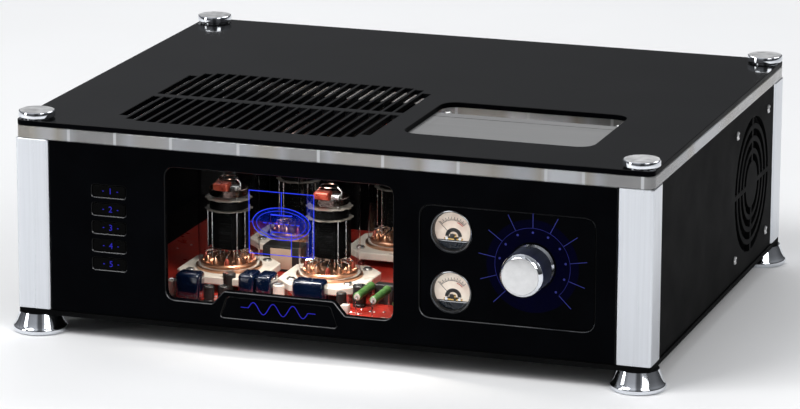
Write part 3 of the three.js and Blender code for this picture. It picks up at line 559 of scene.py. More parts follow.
def feet():
    profile = [
        (0, 0), (15.8, 0), (16.6, 0.3), (17.2, 1.0), (17.5, 2.0), (17.4, 3.1), (17.1, 3.7), (16.7, 4.2),
        (16.2, 5.0), (15.2, 7.4), (14.1, 10.2), (13.3, 12.4), (13.1, 13), (0, 13),
    ]
    for where, foot in zip(WHERES, FEET):
        shape = Shape().at(foot[0], foot[1]).turned(profile)
        shape.turned([(0, 0), (13, 0), (13, 0.2), (0, 0.2)], 1)
        shape.show(f"chrome_foot_{where}", "chrome plastic", f"foot_{where}", "chrome")


def thumb_nuts():
    top = NUT_HEIGHT
    profile = [
        (0, 4), (2.9, 4), (2.9, 0), (9, 0), (9, 0.9), (11.1, 0.9), (11.5, 1.3), (11.5, top - 0.8),
        (11.3, top - 0.25), (10.8, top),
    ]
    for where, foot in zip(WHERES, FEET):
        shape = Shape().at(foot[0], foot[1], LID_TOP).turned(profile)
        shape.turned([(10.8, top), (10.2, top - 0.02), (0, top - 0.02)], 1)
        shape.show(f"deck_nut_{where}", "chrome satin", f"thumb_nut_{where}", "chrome")


def window_outline():
    x, bottom, top = WINDOW["x"], WINDOW["bottom"], WINDOW["top"]
    half, rounding = WINDOW["half"], WINDOW["rounding"]
    bump_top = bottom + BUMP["height"]
    return rounded_path([
        (x - half, bottom, rounding), (x - BUMP["half_base"], bottom, 1),
        (x - BUMP["half_top"], bump_top, 1.5),
        (x + BUMP["half_top"], bump_top, 1.5), (x + BUMP["half_base"], bottom, 1),
        (x + half, bottom, rounding),
        (x + half, top, rounding), (x - half, top, rounding),
    ])


def badge_outline(margin):
    x, base, top = WINDOW["x"], BADGE["half_base"] + margin, BADGE["half_top"] + margin
    return rounded_path([
        (x - base, BADGE["bottom"] - margin, 2.5), (x + base, BADGE["bottom"] - margin, 2.5),
        (x + top, BADGE["top"] + margin, 2.5), (x - top, BADGE["top"] + margin, 2.5),
    ])


def button_outline(z, margin):
    return rectangle(BUTTON["x"], z, BUTTON["width"] + 2 * margin, BUTTON["height"] + 2 * margin,
                     BUTTON["rounding"] + margin)


def control_outline(margin, rounding):
    return rectangle(CONTROLS["x"], CONTROLS["z"], CONTROLS["width"] + 2 * margin,
                     CONTROLS["height"] + 2 * margin,
                     rounding)


def front_panel():
    width, height = PANEL_HIGH[0] - PANEL_LOW[0], PANEL_HIGH[2] - PANEL_LOW[2]
    outlines = [rectangle(0, (PANEL_HIGH[2] + PANEL_LOW[2]) / 2, width, height), window_outline(),
                badge_outline(0)]
    outlines.append(control_outline(0, CONTROLS["rounding"]))
    outlines += [button_outline(z, BUTTON["gap"]) for z in BUTTON_HEIGHTS]
    panel = Shape("front").plate(outlines, PANEL_FRONT, PANEL_BACK, 0.45, edge=1)
    panel.show("milled_front_panel", "panel edge soft_edge", "front_panel", "black_panel")
    badge_front = box_of("badge_plate")[0][1]
    badge = Shape("front").plate([badge_outline(-BUTTON["gap"])], badge_front, PANEL_BACK, 0.25, edge=1)
    badge.show("sunk_badge_plate", "panel edge soft_edge", "badge_plate", "black_panel")


def control_plate():
    holes = [circle(METER["x"], z, METER["hole"], 64) for z in METERS.values()]
    holes.append(circle(VOLUME["x"], VOLUME["z"], 5.2, 48))
    shape = Shape("front").plate([control_outline(-BUTTON["gap"], 7.7), *holes], CONTROL_FRONT, -158, 0.3,
                                 edge=1)
    shape.plate([control_outline(3, 8), *holes], -158.75, -157.25, 0.1)
    shape.show("sunk_control_plate", "panel edge soft_edge", "control_plate", "black_panel")


def buttons():
    collar_back = PANEL_BACK + 1.6
    for number, z in enumerate(BUTTON_HEIGHTS, 1):
        low, high = box_of(f"input_button_{number}")
        body = f"button_{number}"
        key = Shape("front").plate([button_outline(z, 0)], low[1], collar_back, 0.35).at(BUTTON["x"], 0, z)
        key.box((-12.4, PANEL_BACK + 0.4, -4.8), (12.4, collar_back, 4.8), 0.3)
        key.box((-2, collar_back - 0.3, -2), (2, high[1], 2), 0.2)
        key.show(f"input_key_{number}", "key", f"input_button_{number}", "black_plastic", body)
        mark = Shape("front").at(BUTTON["x"] + 1, low[1] - 0.02, z).letter(str(number), 5.4)
        for x in (-4.8, 4.8):
            mark.box((x - 0.5, -0.05, -0.25), (x + 0.5, 0.12, 0.25), 0.02)
        mark.show(f"input_number_{number}", "blue_text", body=body)


# ------------------------------------------------------------------ meters and volume control

def arc_marks(shape, y, radius, angles, length, width, paint=0):
    """Short radial marks round the origin. Angles are clockwise from straight up, seen from the front."""
    for angle in angles:
        shape.box((-width / 2, y - 0.08, radius), (width / 2, y, radius + length), 0, 1, paint, spin=angle)


def arc_line(shape, y, radius, start, end, width, paint=0, steps=48):
    turns = [math.radians(start + (end - start) * index / steps) for index in range(steps + 1)]
    shape.tube([(radius * math.sin(turn), y, radius * math.cos(turn)) for turn in turns], width / 2, paint,
               6)


def half_disc(radius, drop, x=0.0, z=0.0):
    """The part of a disc above a chord that lies drop under its middle."""
    reach = math.acos(drop / radius)
    start = -math.pi / 2 + reach
    return circle(x, z, radius, 40, start, start + 2 * (math.pi - reach))


# Left, right, front, lowest, highest, bevel and finish of the small parts on a meter's card.
METER_TRIM = [
    (-10.6, 10.6, -1.1, -6.9, -6.4, 0.15, 4), (-10.8, 10.8, -0.5, -6.4, -6.0, 0.1, 3),
    (-5.6, 6.4, -0.9, -5.9, -4.6, 0.3, 5), (-1.4, 2.2, -1.0, -4.8, -2.2, 0.5, 5),
    (-3.4, 4.2, -0.8, -4.7, -3.9, 0.2, 3),
]


def meters():
    x, radius = METER["x"], METER["radius"]
    card = -METER["card"]
    inside = radius - 1.5
    for where, z in METERS.items():
        low, high = box_of(f"meter_housing_{where}")
        face, back = -low[1], -high[1]
        rim = [
            (radius - 0.8, face - 0.3), (radius - 0.6, face - 0.05), (radius - 0.35, face),
            (radius - 0.1, face - 0.2), (radius, face - 0.6), (radius, face - 3),
        ]
        shape = Shape("front").at(x, 0, z).turned(rim, 0, 96)
        shape.turned([(0, card), (inside, card), (inside + 0.3, face - 1.2), (radius - 0.8, face - 0.3)], 1,
                     96)
        shape.turned([(radius, face - 3), (radius, back), (0, back)], 1)
        for side in (-4.2, 4.2):
            shape.at(x + 0.4 + side, 0, z - 5)
            shape.turned([(0, card + 1.3), (0.9, card + 1.2), (0.9, card + 0.5)], 4, 20)
        shape.at(x, -card, z)
        shape.plate([half_disc(inside, 6.4)], -0.3, 0, paint=2)
        shape.plate([[(-u, -v) for u, v in half_disc(inside, -6.9)]], -0.9, 0, paint=8)
        arch = half_disc(5.2, 0, 0.4, -3.7) + half_disc(3.0, 0, 0.4, -3.7)[::-1]
        shape.plate([arch], -0.7, -0.1, 0.1, 3)
        for left, right, front, bottom, top, bevel, paint in METER_TRIM:
            shape.box((left, front, bottom), (right, -0.2, top), bevel, paint=paint)
        pivot_z = z - METER["drop"]
        shape.at(x, -card, pivot_z)
        arc_line(shape, -0.37, 9.6, -46, 46, 0.28, 6)
        arc_marks(shape, -0.3, 9.6, range(-45, 46, 10), 2.0, 0.3, 6)
        arc_marks(shape, -0.3, 9.6, range(-40, 46, 10), 1.1, 0.2, 6)
        arc_line(shape, -0.37, 8.7, 18, 46, 0.5, 7)
        shape.show(f"meter_body_{where}",
                   "bezel plastic card needle chrome gold needle red_plastic meter_window",
                   f"meter_housing_{where}")
        low, high = box_of(f"meter_lens_{where}")
        front, rear = -low[1], -high[1]
        edge = radius - 1.0
        dome = [(0, rear), (edge, rear), (edge, front - 0.3), (edge - 1.5, front), (0, front + 0.15)]
        lens = Shape("front").at(x, 0, z).turned(dome)
        lens.show(f"meter_window_{where}", "lens", f"meter_lens_{where}", "clear_glass")
        needle(where, pivot_z)


def needle(where, pivot_z):
    """A tapered pointer with a counterweight, at rest on the left end of its scale."""
    rest = math.radians(-45)
    along = Vector((math.sin(rest), 0, math.cos(rest)))
    pivot = Vector((0, -1.9, 0))
    shape = Shape("front").at(METER["x"], METER["card"], pivot_z)
    shape.turned([(0, 1.5), (1.5, 1.5), (1.5, 2.1), (1.1, 2.4), (0, 2.4)], 0, 32)
    for start, end, radius, sides in ((-3.2, 4, 0.3, 8), (3.5, METER["needle"], 0.17, 8),
                                      (-3.4, -2, 0.6, 10)):
        shape.tube([pivot + along * start, pivot + along * end], radius, 0, sides)
    shape.show(f"meter_pointer_{where}", "needle", f"meter_needle_{where}", "needle_black",
               f"meter_movement_{where}")


def volume_control():
    x, z, sweep = VOLUME["x"], VOLUME["z"], VOLUME["sweep"]
    low, high = box_of("volume_knob")
    front, back = -low[1], -high[1]
    shape = Shape("front").at(x, 0, z)
    shape.turned([(5.8, back + 2.6), (5.8, back), (14.0, back), (14.0, back + 0.6), (12.9, back + 2.1),
                  (12.7, back + 2.4), (12.7, back + 3.1), (13.2, back + 3.4)], 0, 128)
    shape.turned([(13.2, back + 3.4), (13.6, back + 4.2), (13.6, front - 3.6)], 4, 128)
    shape.turned([(13.6, front - 3.6), (13.3, front - 2.9), (11.9, front - 1.1), (11.6, front - 0.9)], 1,
                 128)
    shape.turned([(11.6, front - 0.9), (11.45, front - 1.1), (11.2, front - 0.72), (9, front - 0.32),
                  (5, front - 0.08), (0, front)], 2, 128)
    shape.turned([(5.8, back + 2.6), (3.3, back + 2.6), (3.3, back + 14), (0, back + 14)])
    shape.at(x, high[1] - 7.5, z)
    shape.turned([(1.5, 13.58), (1.4, 13.66), (1.0, 13.62), (0.9, 13.2), (0, 13.2)], 3, 24, "up")
    shape.show("volume_dial", "chrome chrome satin needle knob_side", "volume_knob", "chrome",
               "volume_control")
    y = CONTROL_FRONT - 0.02
    marks = Shape("front").at(x, y, z)
    angles = [-sweep + 2 * sweep / (VOLUME["marks"] - 1) * step for step in range(VOLUME["marks"])]
    arc_line(marks, 0, 23.7, -sweep, sweep, 0.4, 1, 120)
    arc_marks(marks, 0, 23.9, angles, 10.7, 0.42)
    # A ring of panel round the knob with the faint blue glow: painted light from the lit scale.
    marks.plate([circle(0, 0, 29, 96), circle(0, 0, 15, 64)], -0.01, 0.12, paint=2)
    for angle in angles:
        turn = math.radians(angle)
        marks.at(x + 21 * math.sin(turn), y, z + 21 * math.cos(turn))
        marks.turned([(0.75, -0.1), (0.75, 0.08), (0, 0.1)], 0, 16)
    marks.show("volume_scale", "scale blue_dim wash")


def window_pieces():
    low, high = box_of("window_glass")
    pane = rectangle((low[0] + high[0]) / 2, (low[2] + high[2]) / 2, high[0] - low[0], high[2] - low[2], 7)
    Shape("front").plate([pane], low[1], high[1], 0.3).show("window_pane", "window", "window_glass",
                                                            "clear_glass")
    emblem(low[1] - 0.05)
    wave(box_of("badge_plate")[0][1] - 0.05)


def emblem(y):
    """A plain frame round the circuit symbol of a triode, drawn in light on the pane."""
    right, top = 21.15, 19.95
    shape = Shape("front").at(-31.65, y, 83.55)
    frame_corners = [(-right, -top), (right, -top), (right, top), (-right, top)]
    oval = [(18.8 * u, 10.2 * v) for u, v in circle(0, 0, 1, 64)]
    lines = [([start, end], 0.24) for start,
             end in zip(frame_corners, frame_corners[1:] + frame_corners[:1])]
    lines += [([(0, top), (0, 5.5)], 0.22), ([(-7, 5.5), (7, 5.5)], 0.42),
              ([(-right, 0), (-18.8, 0)], 0.22)]
    lines += [([(step * 3.6 - 1.1, 0), (step * 3.6 + 1.1, 0)], 0.26) for step in range(-3, 4)]
    lines.append(([(-6.5, -6.6), (-6.5, -5.4), (6.5, -5.4), (6.5, -top)], 0.26))
    for points, radius in lines:
        shape.tube([(u, 0, v) for u, v in points], radius)
    shape.tube([(u, 0, v) for u, v in oval], 0.26, closed=True)
    shape.tube([(0.86 * u, 0, 0.8 * v) for u, v in oval], 0.16, closed=True)
    shape.box((right - 4.8, -0.05, 0.4 - top), (right - 0.5, 0, top - 0.4), 0, 1, 1)
    shape.plate([oval], -0.05, 0, 0, 1)
    shape.show("window_symbol", "blue haze")


def wave(y):
    """Three periods of a sine wave in place of a name."""
    half, lead, height, steps = 19.5, 5, 3.6, 96
    shares = [step / steps for step in range(steps + 1)]
    shape = Shape().at(-32.5, y, 29.4)
    shape.tube([(2 * half * share - half, 0, height * math.sin(6 * math.pi * share)) for share in shares],
               0.27)
    for side in (-half - lead, half):
        shape.tube([(side, 0, 0), (side + lead, 0, 0)], 0.22)
    shape.show("badge_wave", "blue_text")


# ------------------------------------------------------------------ deck

def grille_width():
    return (GRILLE["count"] - 1) * GRILLE["pitch"] + GRILLE["slot"]


def grille_outlines():
    outlines = []
    for index in range(GRILLE["count"]):
        offset = (index - (GRILLE["count"] - 1) / 2) * GRILLE["pitch"]
        in_corner = max(0, abs(offset) - (grille_width() / 2 - GRILLE["corner"]))
        outer = GRILLE["half"] - (GRILLE["corner"] - math.sqrt(GRILLE["corner"] ** 2 - in_corner**2))
        inner = GRILLE["bar"] / 2
        for row in (-1, 1):
            y = GRILLE["y"] + row * (outer + inner) / 2
            outlines.append(rectangle(GRILLE["x"] + offset, y, GRILLE["slot"], outer - inner, 0.5))
    return outlines


def hatch_outline(margin, rounding):
    return rectangle(HATCH["x"], HATCH["y"], HATCH["width"] + margin, HATCH["depth"] + margin, rounding)


def screw_head(shape, radius):
    """A low domed head with a hexagonal socket."""
    height = radius * 0.5
    shape.turned([(radius, 0), (radius, height * 0.35), (radius * 0.8, height * 0.8),
                  (radius * 0.45, height)], 0, 32)
    # The hexagonal socket's walls and floor take the second finish, a black that paints the shade inside the
    # socket.
    shape.turned([(radius * 0.45, height), (radius * 0.45, height * 0.3), (0, height * 0.3)], 1, 6)


def deck():
    outline = rectangle(0, 0, DECK_HIGH[0] - DECK_LOW[0], DECK_HIGH[1] - DECK_LOW[1], 6)
    studs = [circle(foot[0], foot[1], 3.25, 24) for foot in FEET]
    lid = Shape().plate([outline, hatch_outline(0, HATCH["rounding"]), *studs, *grille_outlines()],
                        LID_LOW[2], LID_HIGH[2], 0.35, edge=1, wall=3)
    lid.show("gloss_lid", "lid soft_edge soft_edge panel", "black_top_plate", "gloss_black")
    opening = rectangle(GRILLE["x"], GRILLE["y"], grille_width() + 8, 2 * GRILLE["half"] + 8, 10)
    acrylic = Shape().plate([outline, opening, hatch_outline(16, 0), *studs], DECK_LOW[2],
                            DECK_HIGH[2] - 0.02, 0.6)
    acrylic.show("acrylic_layer", "acrylic", "acrylic_deck", "clear_acrylic")
    screws = Shape()
    cover_top = box_of("hatch_cover")[1][2]
    for x in (36, 149):
        screw_head(screws.at(x, -36.5, cover_top - 2.2), 2.6)
    screws.show("hatch_screws", "solder needle")


# ------------------------------------------------------------------ side and rear

def ring_slot(inner, outer, quarter):
    start = quarter * math.pi / 2
    arcs = []
    for radius in (outer, inner):
        keep = math.asin(FAN["spoke"] / 2 / radius)
        arcs.append(circle(FAN["y"], FAN["z"], radius, 20, start + keep, start + math.pi / 2 - keep))
    return arcs[0] + arcs[1][::-1]


def right_side():
    low, high = box_of("right_side_panel")
    outlines = [rectangle((low[1] + high[1]) / 2, (low[2] + high[2]) / 2, high[1] - low[1],
                          high[2] - low[2])]
    for ring in range(FAN["rings"]):
        inner = FAN["hub"] + ring * (FAN["slot"] + FAN["bar"])
        outlines += [ring_slot(inner, inner + FAN["slot"], quarter) for quarter in range(4)]
    shape = Shape("right").plate(outlines, low[0], high[0], 0.25, edge=1)
    shape.show("right_panel_with_grille", "side side side", "right_side_panel", "black_panel")
    bolts = Shape("right")
    for y, z in four(FAN["bolt"], FAN["bolt"]):
        screw_head(bolts.at(high[0] - 0.15, FAN["y"] + y, FAN["z"] + z), 2.9)
    bolts.show("fan_bolts", "solder needle")


def fan_blade(blade, middle):
    """A swept, twisted blade about the plane x = middle, in rows of points from the hub outwards."""
    part = bmesh.new()
    rows = []
    for ring in range(8):
        share = ring / 7
        radius = 15.8 + share * 26
        pitch = math.radians(48 - 20 * share)
        row = []
        for step in range(9):
            chord = (step / 8 - 0.5) * (15 + 9 * share)
            camber = 1.6 * (1 - (step / 4 - 1) ** 2)
            turn = 2 * math.pi * blade / 7 + 0.25 * share**2 + (chord * math.cos(pitch) + camber) / radius
            x = middle + max(-8.6, min(8.6, chord * math.sin(pitch) - camber * 0.6))
            y, z = FAN["y"] + radius * math.cos(turn), FAN["z"] + radius * math.sin(turn)
            row.append(part.verts.new((x, y, z)))
        rows.append(row)
    for row, following in zip(rows, rows[1:]):
        for index in range(8):
            part.faces.new((row[index], row[index + 1], following[index + 1], following[index]))
    bmesh.ops.recalc_face_normals(part, faces=part.faces[:])
    bmesh.ops.solidify(part, geom=part.faces[:], thickness=1.1)
    return part


def fan_rotor():
    """Seven blades on a domed hub."""
    low, high = box_of("fan_rotor")
    left, right = low[0], high[0]
    shape = Shape("right").at(0, FAN["y"], FAN["z"])
    shape.turned([(0, left), (16, left), (17, left + 1), (17, right - 1.6), (16.4, right - 0.5),
                  (15, right),
                  (0, right)])
    shape.at(0, 0, 0)
    for blade in range(7):
        shape.take(fan_blade(blade, (left + right) / 2))
    shape.show("fan_impeller", "plastic", "fan_rotor", "black_plastic", "fan_blades")


def rear_details():
    jacks = Shape("front")
    plate_back = box_of("input_jacks")[1][1] - 10
    for column in range(JACKS["columns"]):
        x = JACKS["x"] + (column - (JACKS["columns"] - 1) / 2) * JACKS["pitch"]
        for row, paint in ((-JACKS["row"], 1), (JACKS["row"], 2)):
            jacks.at(x, plate_back, REAR_HEIGHT + row)
            jacks.turned([(4.2, 0), (6.6, 0), (6.6, -1), (5.9, -1.4), (4.2, -1.4)], paint, 40)
            jacks.turned([(4.15, -1), (4.45, -1.2), (4.45, -9.6), (4.2, -9.95), (3.4, -9.95), (3.4, -4)], 0,
                         40)
            jacks.turned([(3.4, -9.3), (1.9, -9.3), (1.9, -5)], 2, 32)
    for x, z in four(48, 17):
        jacks.at(JACKS["x"] + x, plate_back, REAR_HEIGHT + z)
        jacks.turned([(2.4, 0), (2.4, -0.5), (1.9, -1.1), (1.1, -1.3)], 0, 28)
        # Each screw's hexagonal socket is black: painted shade inside it.
        jacks.turned([(1.1, -1.3), (1.1, -0.5), (0, -0.5)], 3, 6)
    jacks.show("phono_sockets", "gold red_plastic pale needle")


def speaker_posts():
    for side, x in (("left", -30), ("right", 44)):
        end = REAR_PLATE - box_of(f"speaker_terminals_{side}")[1][1]
        shape = Shape("front").at(x, REAR_PLATE, REAR_HEIGHT)
        shape.plate([rectangle(0, 0, 46, 24, 3)], -2.5, 0, 0.5, 1)
        for post, paint in ((-13, 2), (13, 1)):
            shape.at(x + post, REAR_PLATE, REAR_HEIGHT)
            shape.turned([(0, 14.5), (3, 14.5), (3, -3), (6.4, -3), (6.4, -4)], 0, 40)
            shape.turned([(6.4, -4), (8, -4.5), (8, -12), (7.6, -12.5), (6.7, -13)], paint, 12)
            shape.turned([(6.7, -13), (6.6, -13.5), (6.6, end + 1.2), (6.2, end + 0.4), (5.4, end),
                          (2.1, end),
                          (2.1, end + 14), (0, end + 14)], 0, 64)
        shape.show(f"binding_posts_{side}", "gold plastic red_plastic", f"speaker_terminals_{side}",
                   "gilded_brass")


def mains_parts():
    shape = Shape("front")
    for side in (-20, 20):
        shape.at(INLET_X + side, REAR_PLATE, 66).turned([(2.6, 0), (2.6, -0.3), (1.2, -1.1)], 0, 28)
        # Each screw's hexagonal socket is black: painted shade inside it.
        shape.turned([(1.2, -1.1), (1.2, -0.3), (0, -0.3)], 1, 6)
    for x, z in ((-7, -1.5), (0, 3.4), (7, -1.5)):
        shape.at(INLET_X + x, REAR_PLATE, 58 + z).box((-1.15, -15.5, -2.15), (1.15, -3.8, 2.15), 0.5)
    shape.show("inlet_pins", "solder needle")


# ------------------------------------------------------------------ circuit board

def main_board():
    low, high = BOARD_LOW, BOARD_HIGH
    shape = Shape().box((low[0], low[1], 20.4), (high[0], high[1], BOARD_TOP), 0.25, 1)
    for x in (low[0] + 7, high[0] - 7):
        for y in (low[1] + 7, high[1] - 7):
            shape.at(x, y).turned([(0, BASE_TOP), (3, BASE_TOP), (3, 20.9)], 1, 6)
            shape.at(x, y, BOARD_TOP).turned([(2.8, -0.1), (2.8, 1.2), (2.2, 1.7), (0, 1.7)], 1, 24)
    shape.show("red_circuit_board", "board solder", "main_board", "red_board")
    joints = Shape()
    scatter = random.Random(7)
    for _ in range(150):
        x = scatter.uniform(low[0] + 4, high[0] - 4)
        y = scatter.choice([scatter.uniform(low[1] + 3, low[1] + 34), scatter.uniform(-50, 60)])
        radius = scatter.uniform(0.7, 1.3)
        joints.at(x, y, BOARD_TOP).turned([(radius, 0), (radius * 0.6, 0.4), (0, 0.7)], 0, 10)
    for _ in range(34):
        x = scatter.uniform(low[0] + 8, high[0] - 20)
        y = scatter.uniform(low[1] + 4, low[1] + 30)
        joints.at(x, y, BOARD_TOP).box((0, 0, 0), (scatter.uniform(6, 16), 0.5, 0.06), 0, 1, 1)
    joints.show("solder_joints", "solder pale")


def film_capacitor(shape, left, right, front, depth, height=18):
    """A dipped film capacitor: a soft-edged block on two wires."""
    width = right - left
    shape.at(left, front, BOARD_TOP).box((0, 0, 1), (width, depth, height), 2.6, 4)
    shape.box((0.6, 0.8, 0.2), (width - 0.6, depth - 0.8, 2), 0.4)
    for share in (0.25, 0.75):
        shape.tube([(width * share, depth / 2, 0), (width * share, depth / 2, 2)], 0.4, 1)


def power_resistor(shape, x, front, length, z=34, radius=2.5):
    """A resistor lying along Y above the board, on two wires that drop to it."""
    bead = radius * 1.1
    cap = radius * 0.75
    shape.at(x, front, z)
    shape.turned([(0, 0), (cap, 0), (bead, -0.8), (bead, -2.4), (radius, -3.2), (radius, 3.2 - length),
                  (bead, 2.4 - length), (bead, 0.8 - length), (cap, -length), (0, -length)], 0, 32)
    shape.turned([(0, 0.12), (radius * 0.78, 0.1), (radius * 0.8, -0.15)], 1, 32)
    # A black cone in the middle of each end: painted shade standing for the hollow bore.
    shape.turned([(0, 0.2), (radius * 0.25, 0.15)], 3, 16)
    for end, step in ((0, -1), (length, 1)):
        bend = end + step * 2.2
        shape.tube([(0, end, 0), (0, end + step * 1.6, 0), (0, bend, -0.8), (0, bend, BOARD_TOP - z)], 0.42,
                   2)


def standing_can(shape, x, y, radius, height, paint):
    """An upright electrolytic capacitor with a groove near its foot."""
    shape.at(x, y, BOARD_TOP)
    shape.turned([(radius, 0), (radius, 1.6), (radius - 0.5, 2.2), (radius, 2.8), (radius, height - 0.7),
                  (radius - 0.6, height)], paint, 40)
    shape.turned([(radius - 0.6, height), (radius - 1.2, height - 0.25), (0, height - 0.25)], 1, 40)


# Left, right, front and depth of each film capacitor.
FILM_CAPACITORS = [(-111, -95, -138, 13), (-73, -62.4, -127, 16), (-61.6, -51, -127, 16),
                   (-36, -15, -130, 12)]
# X, Y, radius, height and finish of each upright can.
CANS = [
    (-46.4, -124, 3.6, 13, 0), (-116, -128, 3.2, 11, 0), (-5.5, -122, 3.2, 11, 2), (3, -112, 4.2, 14, 2),
    (40, -118, 5.2, 20, 2), (-84, -112, 4.2, 14, 2), (-89, -135, 3.4, 11, 2), (-80.5, -132, 3.4, 11, 2),
]


def board_parts():
    capacitors = Shape()
    for place in FILM_CAPACITORS:
        film_capacitor(capacitors, *place)
    capacitors.show("film_capacitors", "capacitor solder")
    resistors = Shape("front")
    for place in ((8.6, -133, 28), (21, -138, 28), (34, -132, 24, 31)):
        power_resistor(resistors, *place)
    resistors.show("power_resistors", "resistor pale rod needle")
    small = Shape()
    for can in CANS:
        standing_can(small, *can)
    small.at(0, 0, BOARD_TOP).box((-12, -139, 1), (-2, -135, 8), 0.5, 2, 2)
    small.box((-1, -137, 1), (4, -132, 7), 0.5)
    for x in (-130, -126, -122):
        small.box((x, -135, 0), (x + 2.4, -129, 3.2), 0.3, 2, 2)
    for index in range(9):
        small.at(-134 + index * 17.5, -147, BOARD_TOP).box((0, 0, 0), (3.6, 1.8, 1.1), 0.15, 1,
                                                           2 * (index % 2))
        for left in (-0.5, 3.6):
            small.box((left, 0, 0), (left + 0.5, 1.8, 0.9), 0.05, 1, 1)
    small.show("small_components", "pale solder plastic")
    relays = Shape()
    for x, y, width, depth, height in ((-84, -52, 27, 15, 17), (-46, -48, 12, 16, 13),
                                       (18, -60, 20, 16, 20)):
        relays.at(x, y, BOARD_TOP).box((0, 0, 0.2), (width, depth, height), 0.8, 3, 1)
        relays.box((width * 0.2, -0.25, 2), (width * 0.75, 0.6, height - 1.5), 0.2)
    relays.at(0, 0, BOARD_TOP).box((10, -104, 0), (46, -97, 13), 0.8, 3, 1)
    for x in range(13, 44, 6):
        relays.box((x, -105, 3), (x + 3.4, -103.8, 10), 0.4, 2, 1)
    relays.show("relays", "cover plastic")


# ------------------------------------------------------------------ tubes

def socket(where, x, y):
    half, flat, bottom, top = SOCKET["half"], SOCKET["flat"], SOCKET["bottom"], SOCKET["top"]
    disc_top = box_of(f"tube_socket_{where}")[1][2]
    corners = [(-flat, -half), (flat, -half), (half, -flat), (half, flat), (flat, half), (-flat, half),
               (-half, flat), (-half, -flat)]
    outline = rounded_path([(*corner, 1.2) for corner in corners])
    shape = Shape().at(x, y).plate([outline], bottom, top, 0.6)
    shape.turned([(20.3, top - 0.5), (20.3, disc_top - 0.5), (19.8, disc_top), (0, disc_top)])
    for u, v in four(SOCKET["screw"], SOCKET["screw"]):
        shape.at(x + u, y + v).turned([(2.5, BOARD_TOP), (2.5, bottom + 0.5)], 1, 6)
        shape.at(x + u, y + v, top).turned([(2.9, 0), (2.9, 0.8), (2.3, 1.5), (0, 1.7)], 1, 28)
        # A thin black bar across each screw head: painted shade standing for the slot.
        shape.box((-2.3, -0.35, 1.55), (2.3, 0.35, 1.8), 0.05, 1, 2, math.copysign(35, u))
    shape.show(f"ceramic_socket_{where}", "ceramic solder needle", f"tube_socket_{where}", "ceramic")
    ring = Shape().at(x, y, top).turned([(19.6, 0.2), (21.2, 0.2), (21.2, 1.4), (20.6, 1.9), (19.6, 1.9)])
    ring.show(f"copper_ring_{where}", "copper")


def bulb(where, x, y):
    """A straight glass with a rounded shoulder and a smaller dome above it."""
    low, high = box_of(f"tube_bulb_{where}")
    shoulder, neck, dome = high[2] - TUBE["shoulder"], TUBE["neck"], TUBE["dome"]
    outer = [(TUBE["radius"], low[2]), (TUBE["radius"], shoulder)]
    for step in range(1, 13):
        turn = math.pi / 2 * step / 12
        outer.append((dome + (TUBE["radius"] - dome) * math.cos(turn), shoulder + 10.3 * math.sin(turn)))
    for step in range(1, 10):
        share = step / 10
        height = high[2] - neck + neck * math.sin(math.pi / 2 * share) * 0.98
        outer.append((dome * (1 - share) + 0.001 * share, height))
    outer.append((0, high[2]))
    glass_bulb = Shape().at(x, y).turned(outer, 0, 96)
    glass_bulb.show(f"glass_bulb_{where}", "bulb", f"tube_bulb_{where}", "clear_glass")


def tube_foot(shape, floor):
    """The base disc, its ring of seals with their wires, and fine ribs between them."""
    shape.turned([(0, floor), (18.0, floor), (18.1, floor + 1.6), (17.4, floor + 2.4), (7, floor + 2.8),
                  (5, floor + 4), (0, floor + 4)], 4, 64)
    x, y, _ = shape.origin
    for index in range(12):
        turn = 2 * math.pi * (index + 0.5) / 12
        u, v = 14.9 * math.cos(turn), 14.9 * math.sin(turn)
        seal = [(1.9, 2), (1.5, 5.2), (0.7, 6.6), (0, 6.8)]
        # Every third seal takes the reddish-brown finish.
        shape.at(x + u, y + v, floor).turned(seal, 4 if index % 3 else 6, 16)
        shape.at(x, y).tube([(u, v, floor + 5), (u, v, floor + 7.5),
                             (8.5 * math.cos(turn), 4.5 * math.sin(turn), 43.4)],
                            0.45, 1)
    for u, v in circle(0, 0, 1, 36):
        along = Vector((u, v, 0))
        start = Vector((0, 0, floor + 2.7))
        shape.tube([start + along * 10, start + along * 17], 0.35, 4, 6)


def tube_plates(shape):
    """The folded plate with its ribs and side wings."""
    corners = [(-10.5, -3, 3), (-4.5, -6.4, 1), (4.5, -6.4, 1), (10.5, -3, 3), (10.5, 3, 3), (4.5, 6.4, 1),
               (-4.5, 6.4, 1), (-10.5, 3, 3)]
    shape.plate([rounded_path(corners)], TUBE["plate_low"], TUBE["plate_high"], 0.4)
    for z in (48.5, 54, 59.5, 65):
        shape.box((-10.9, -1.3, z), (10.9, 1.3, z + 2.6), 0.3)
        shape.box((-4.3, -6.75, z), (4.3, 6.75, z + 2.6), 0.25)
    for side in (-1, 1):
        wing, rib = side * 12.6, side * 11.4
        shape.box((wing - 0.3, -4.2, 45.5), (wing + 0.3, 4.2, 70), 0.15, 1)
        shape.box((rib - 1.4, -0.3, 46), (rib + 1.4, 0.3, 69.5), 0.1, 1)
        shape.tube([(wing, -4.4, 45), (wing, -4.4, 71)], 0.3, 1)


def mica(shape, height, radius):
    """A thin disc with small teeth that press on the glass."""
    points = [(u * reach, v * reach) for index, (u, v) in enumerate(circle(0, 0, 1, 96))
              for reach in [radius if index % 8 < 4 else radius + 0.8]]
    shape.plate([points], height, height + 0.5, 0.1, 2)


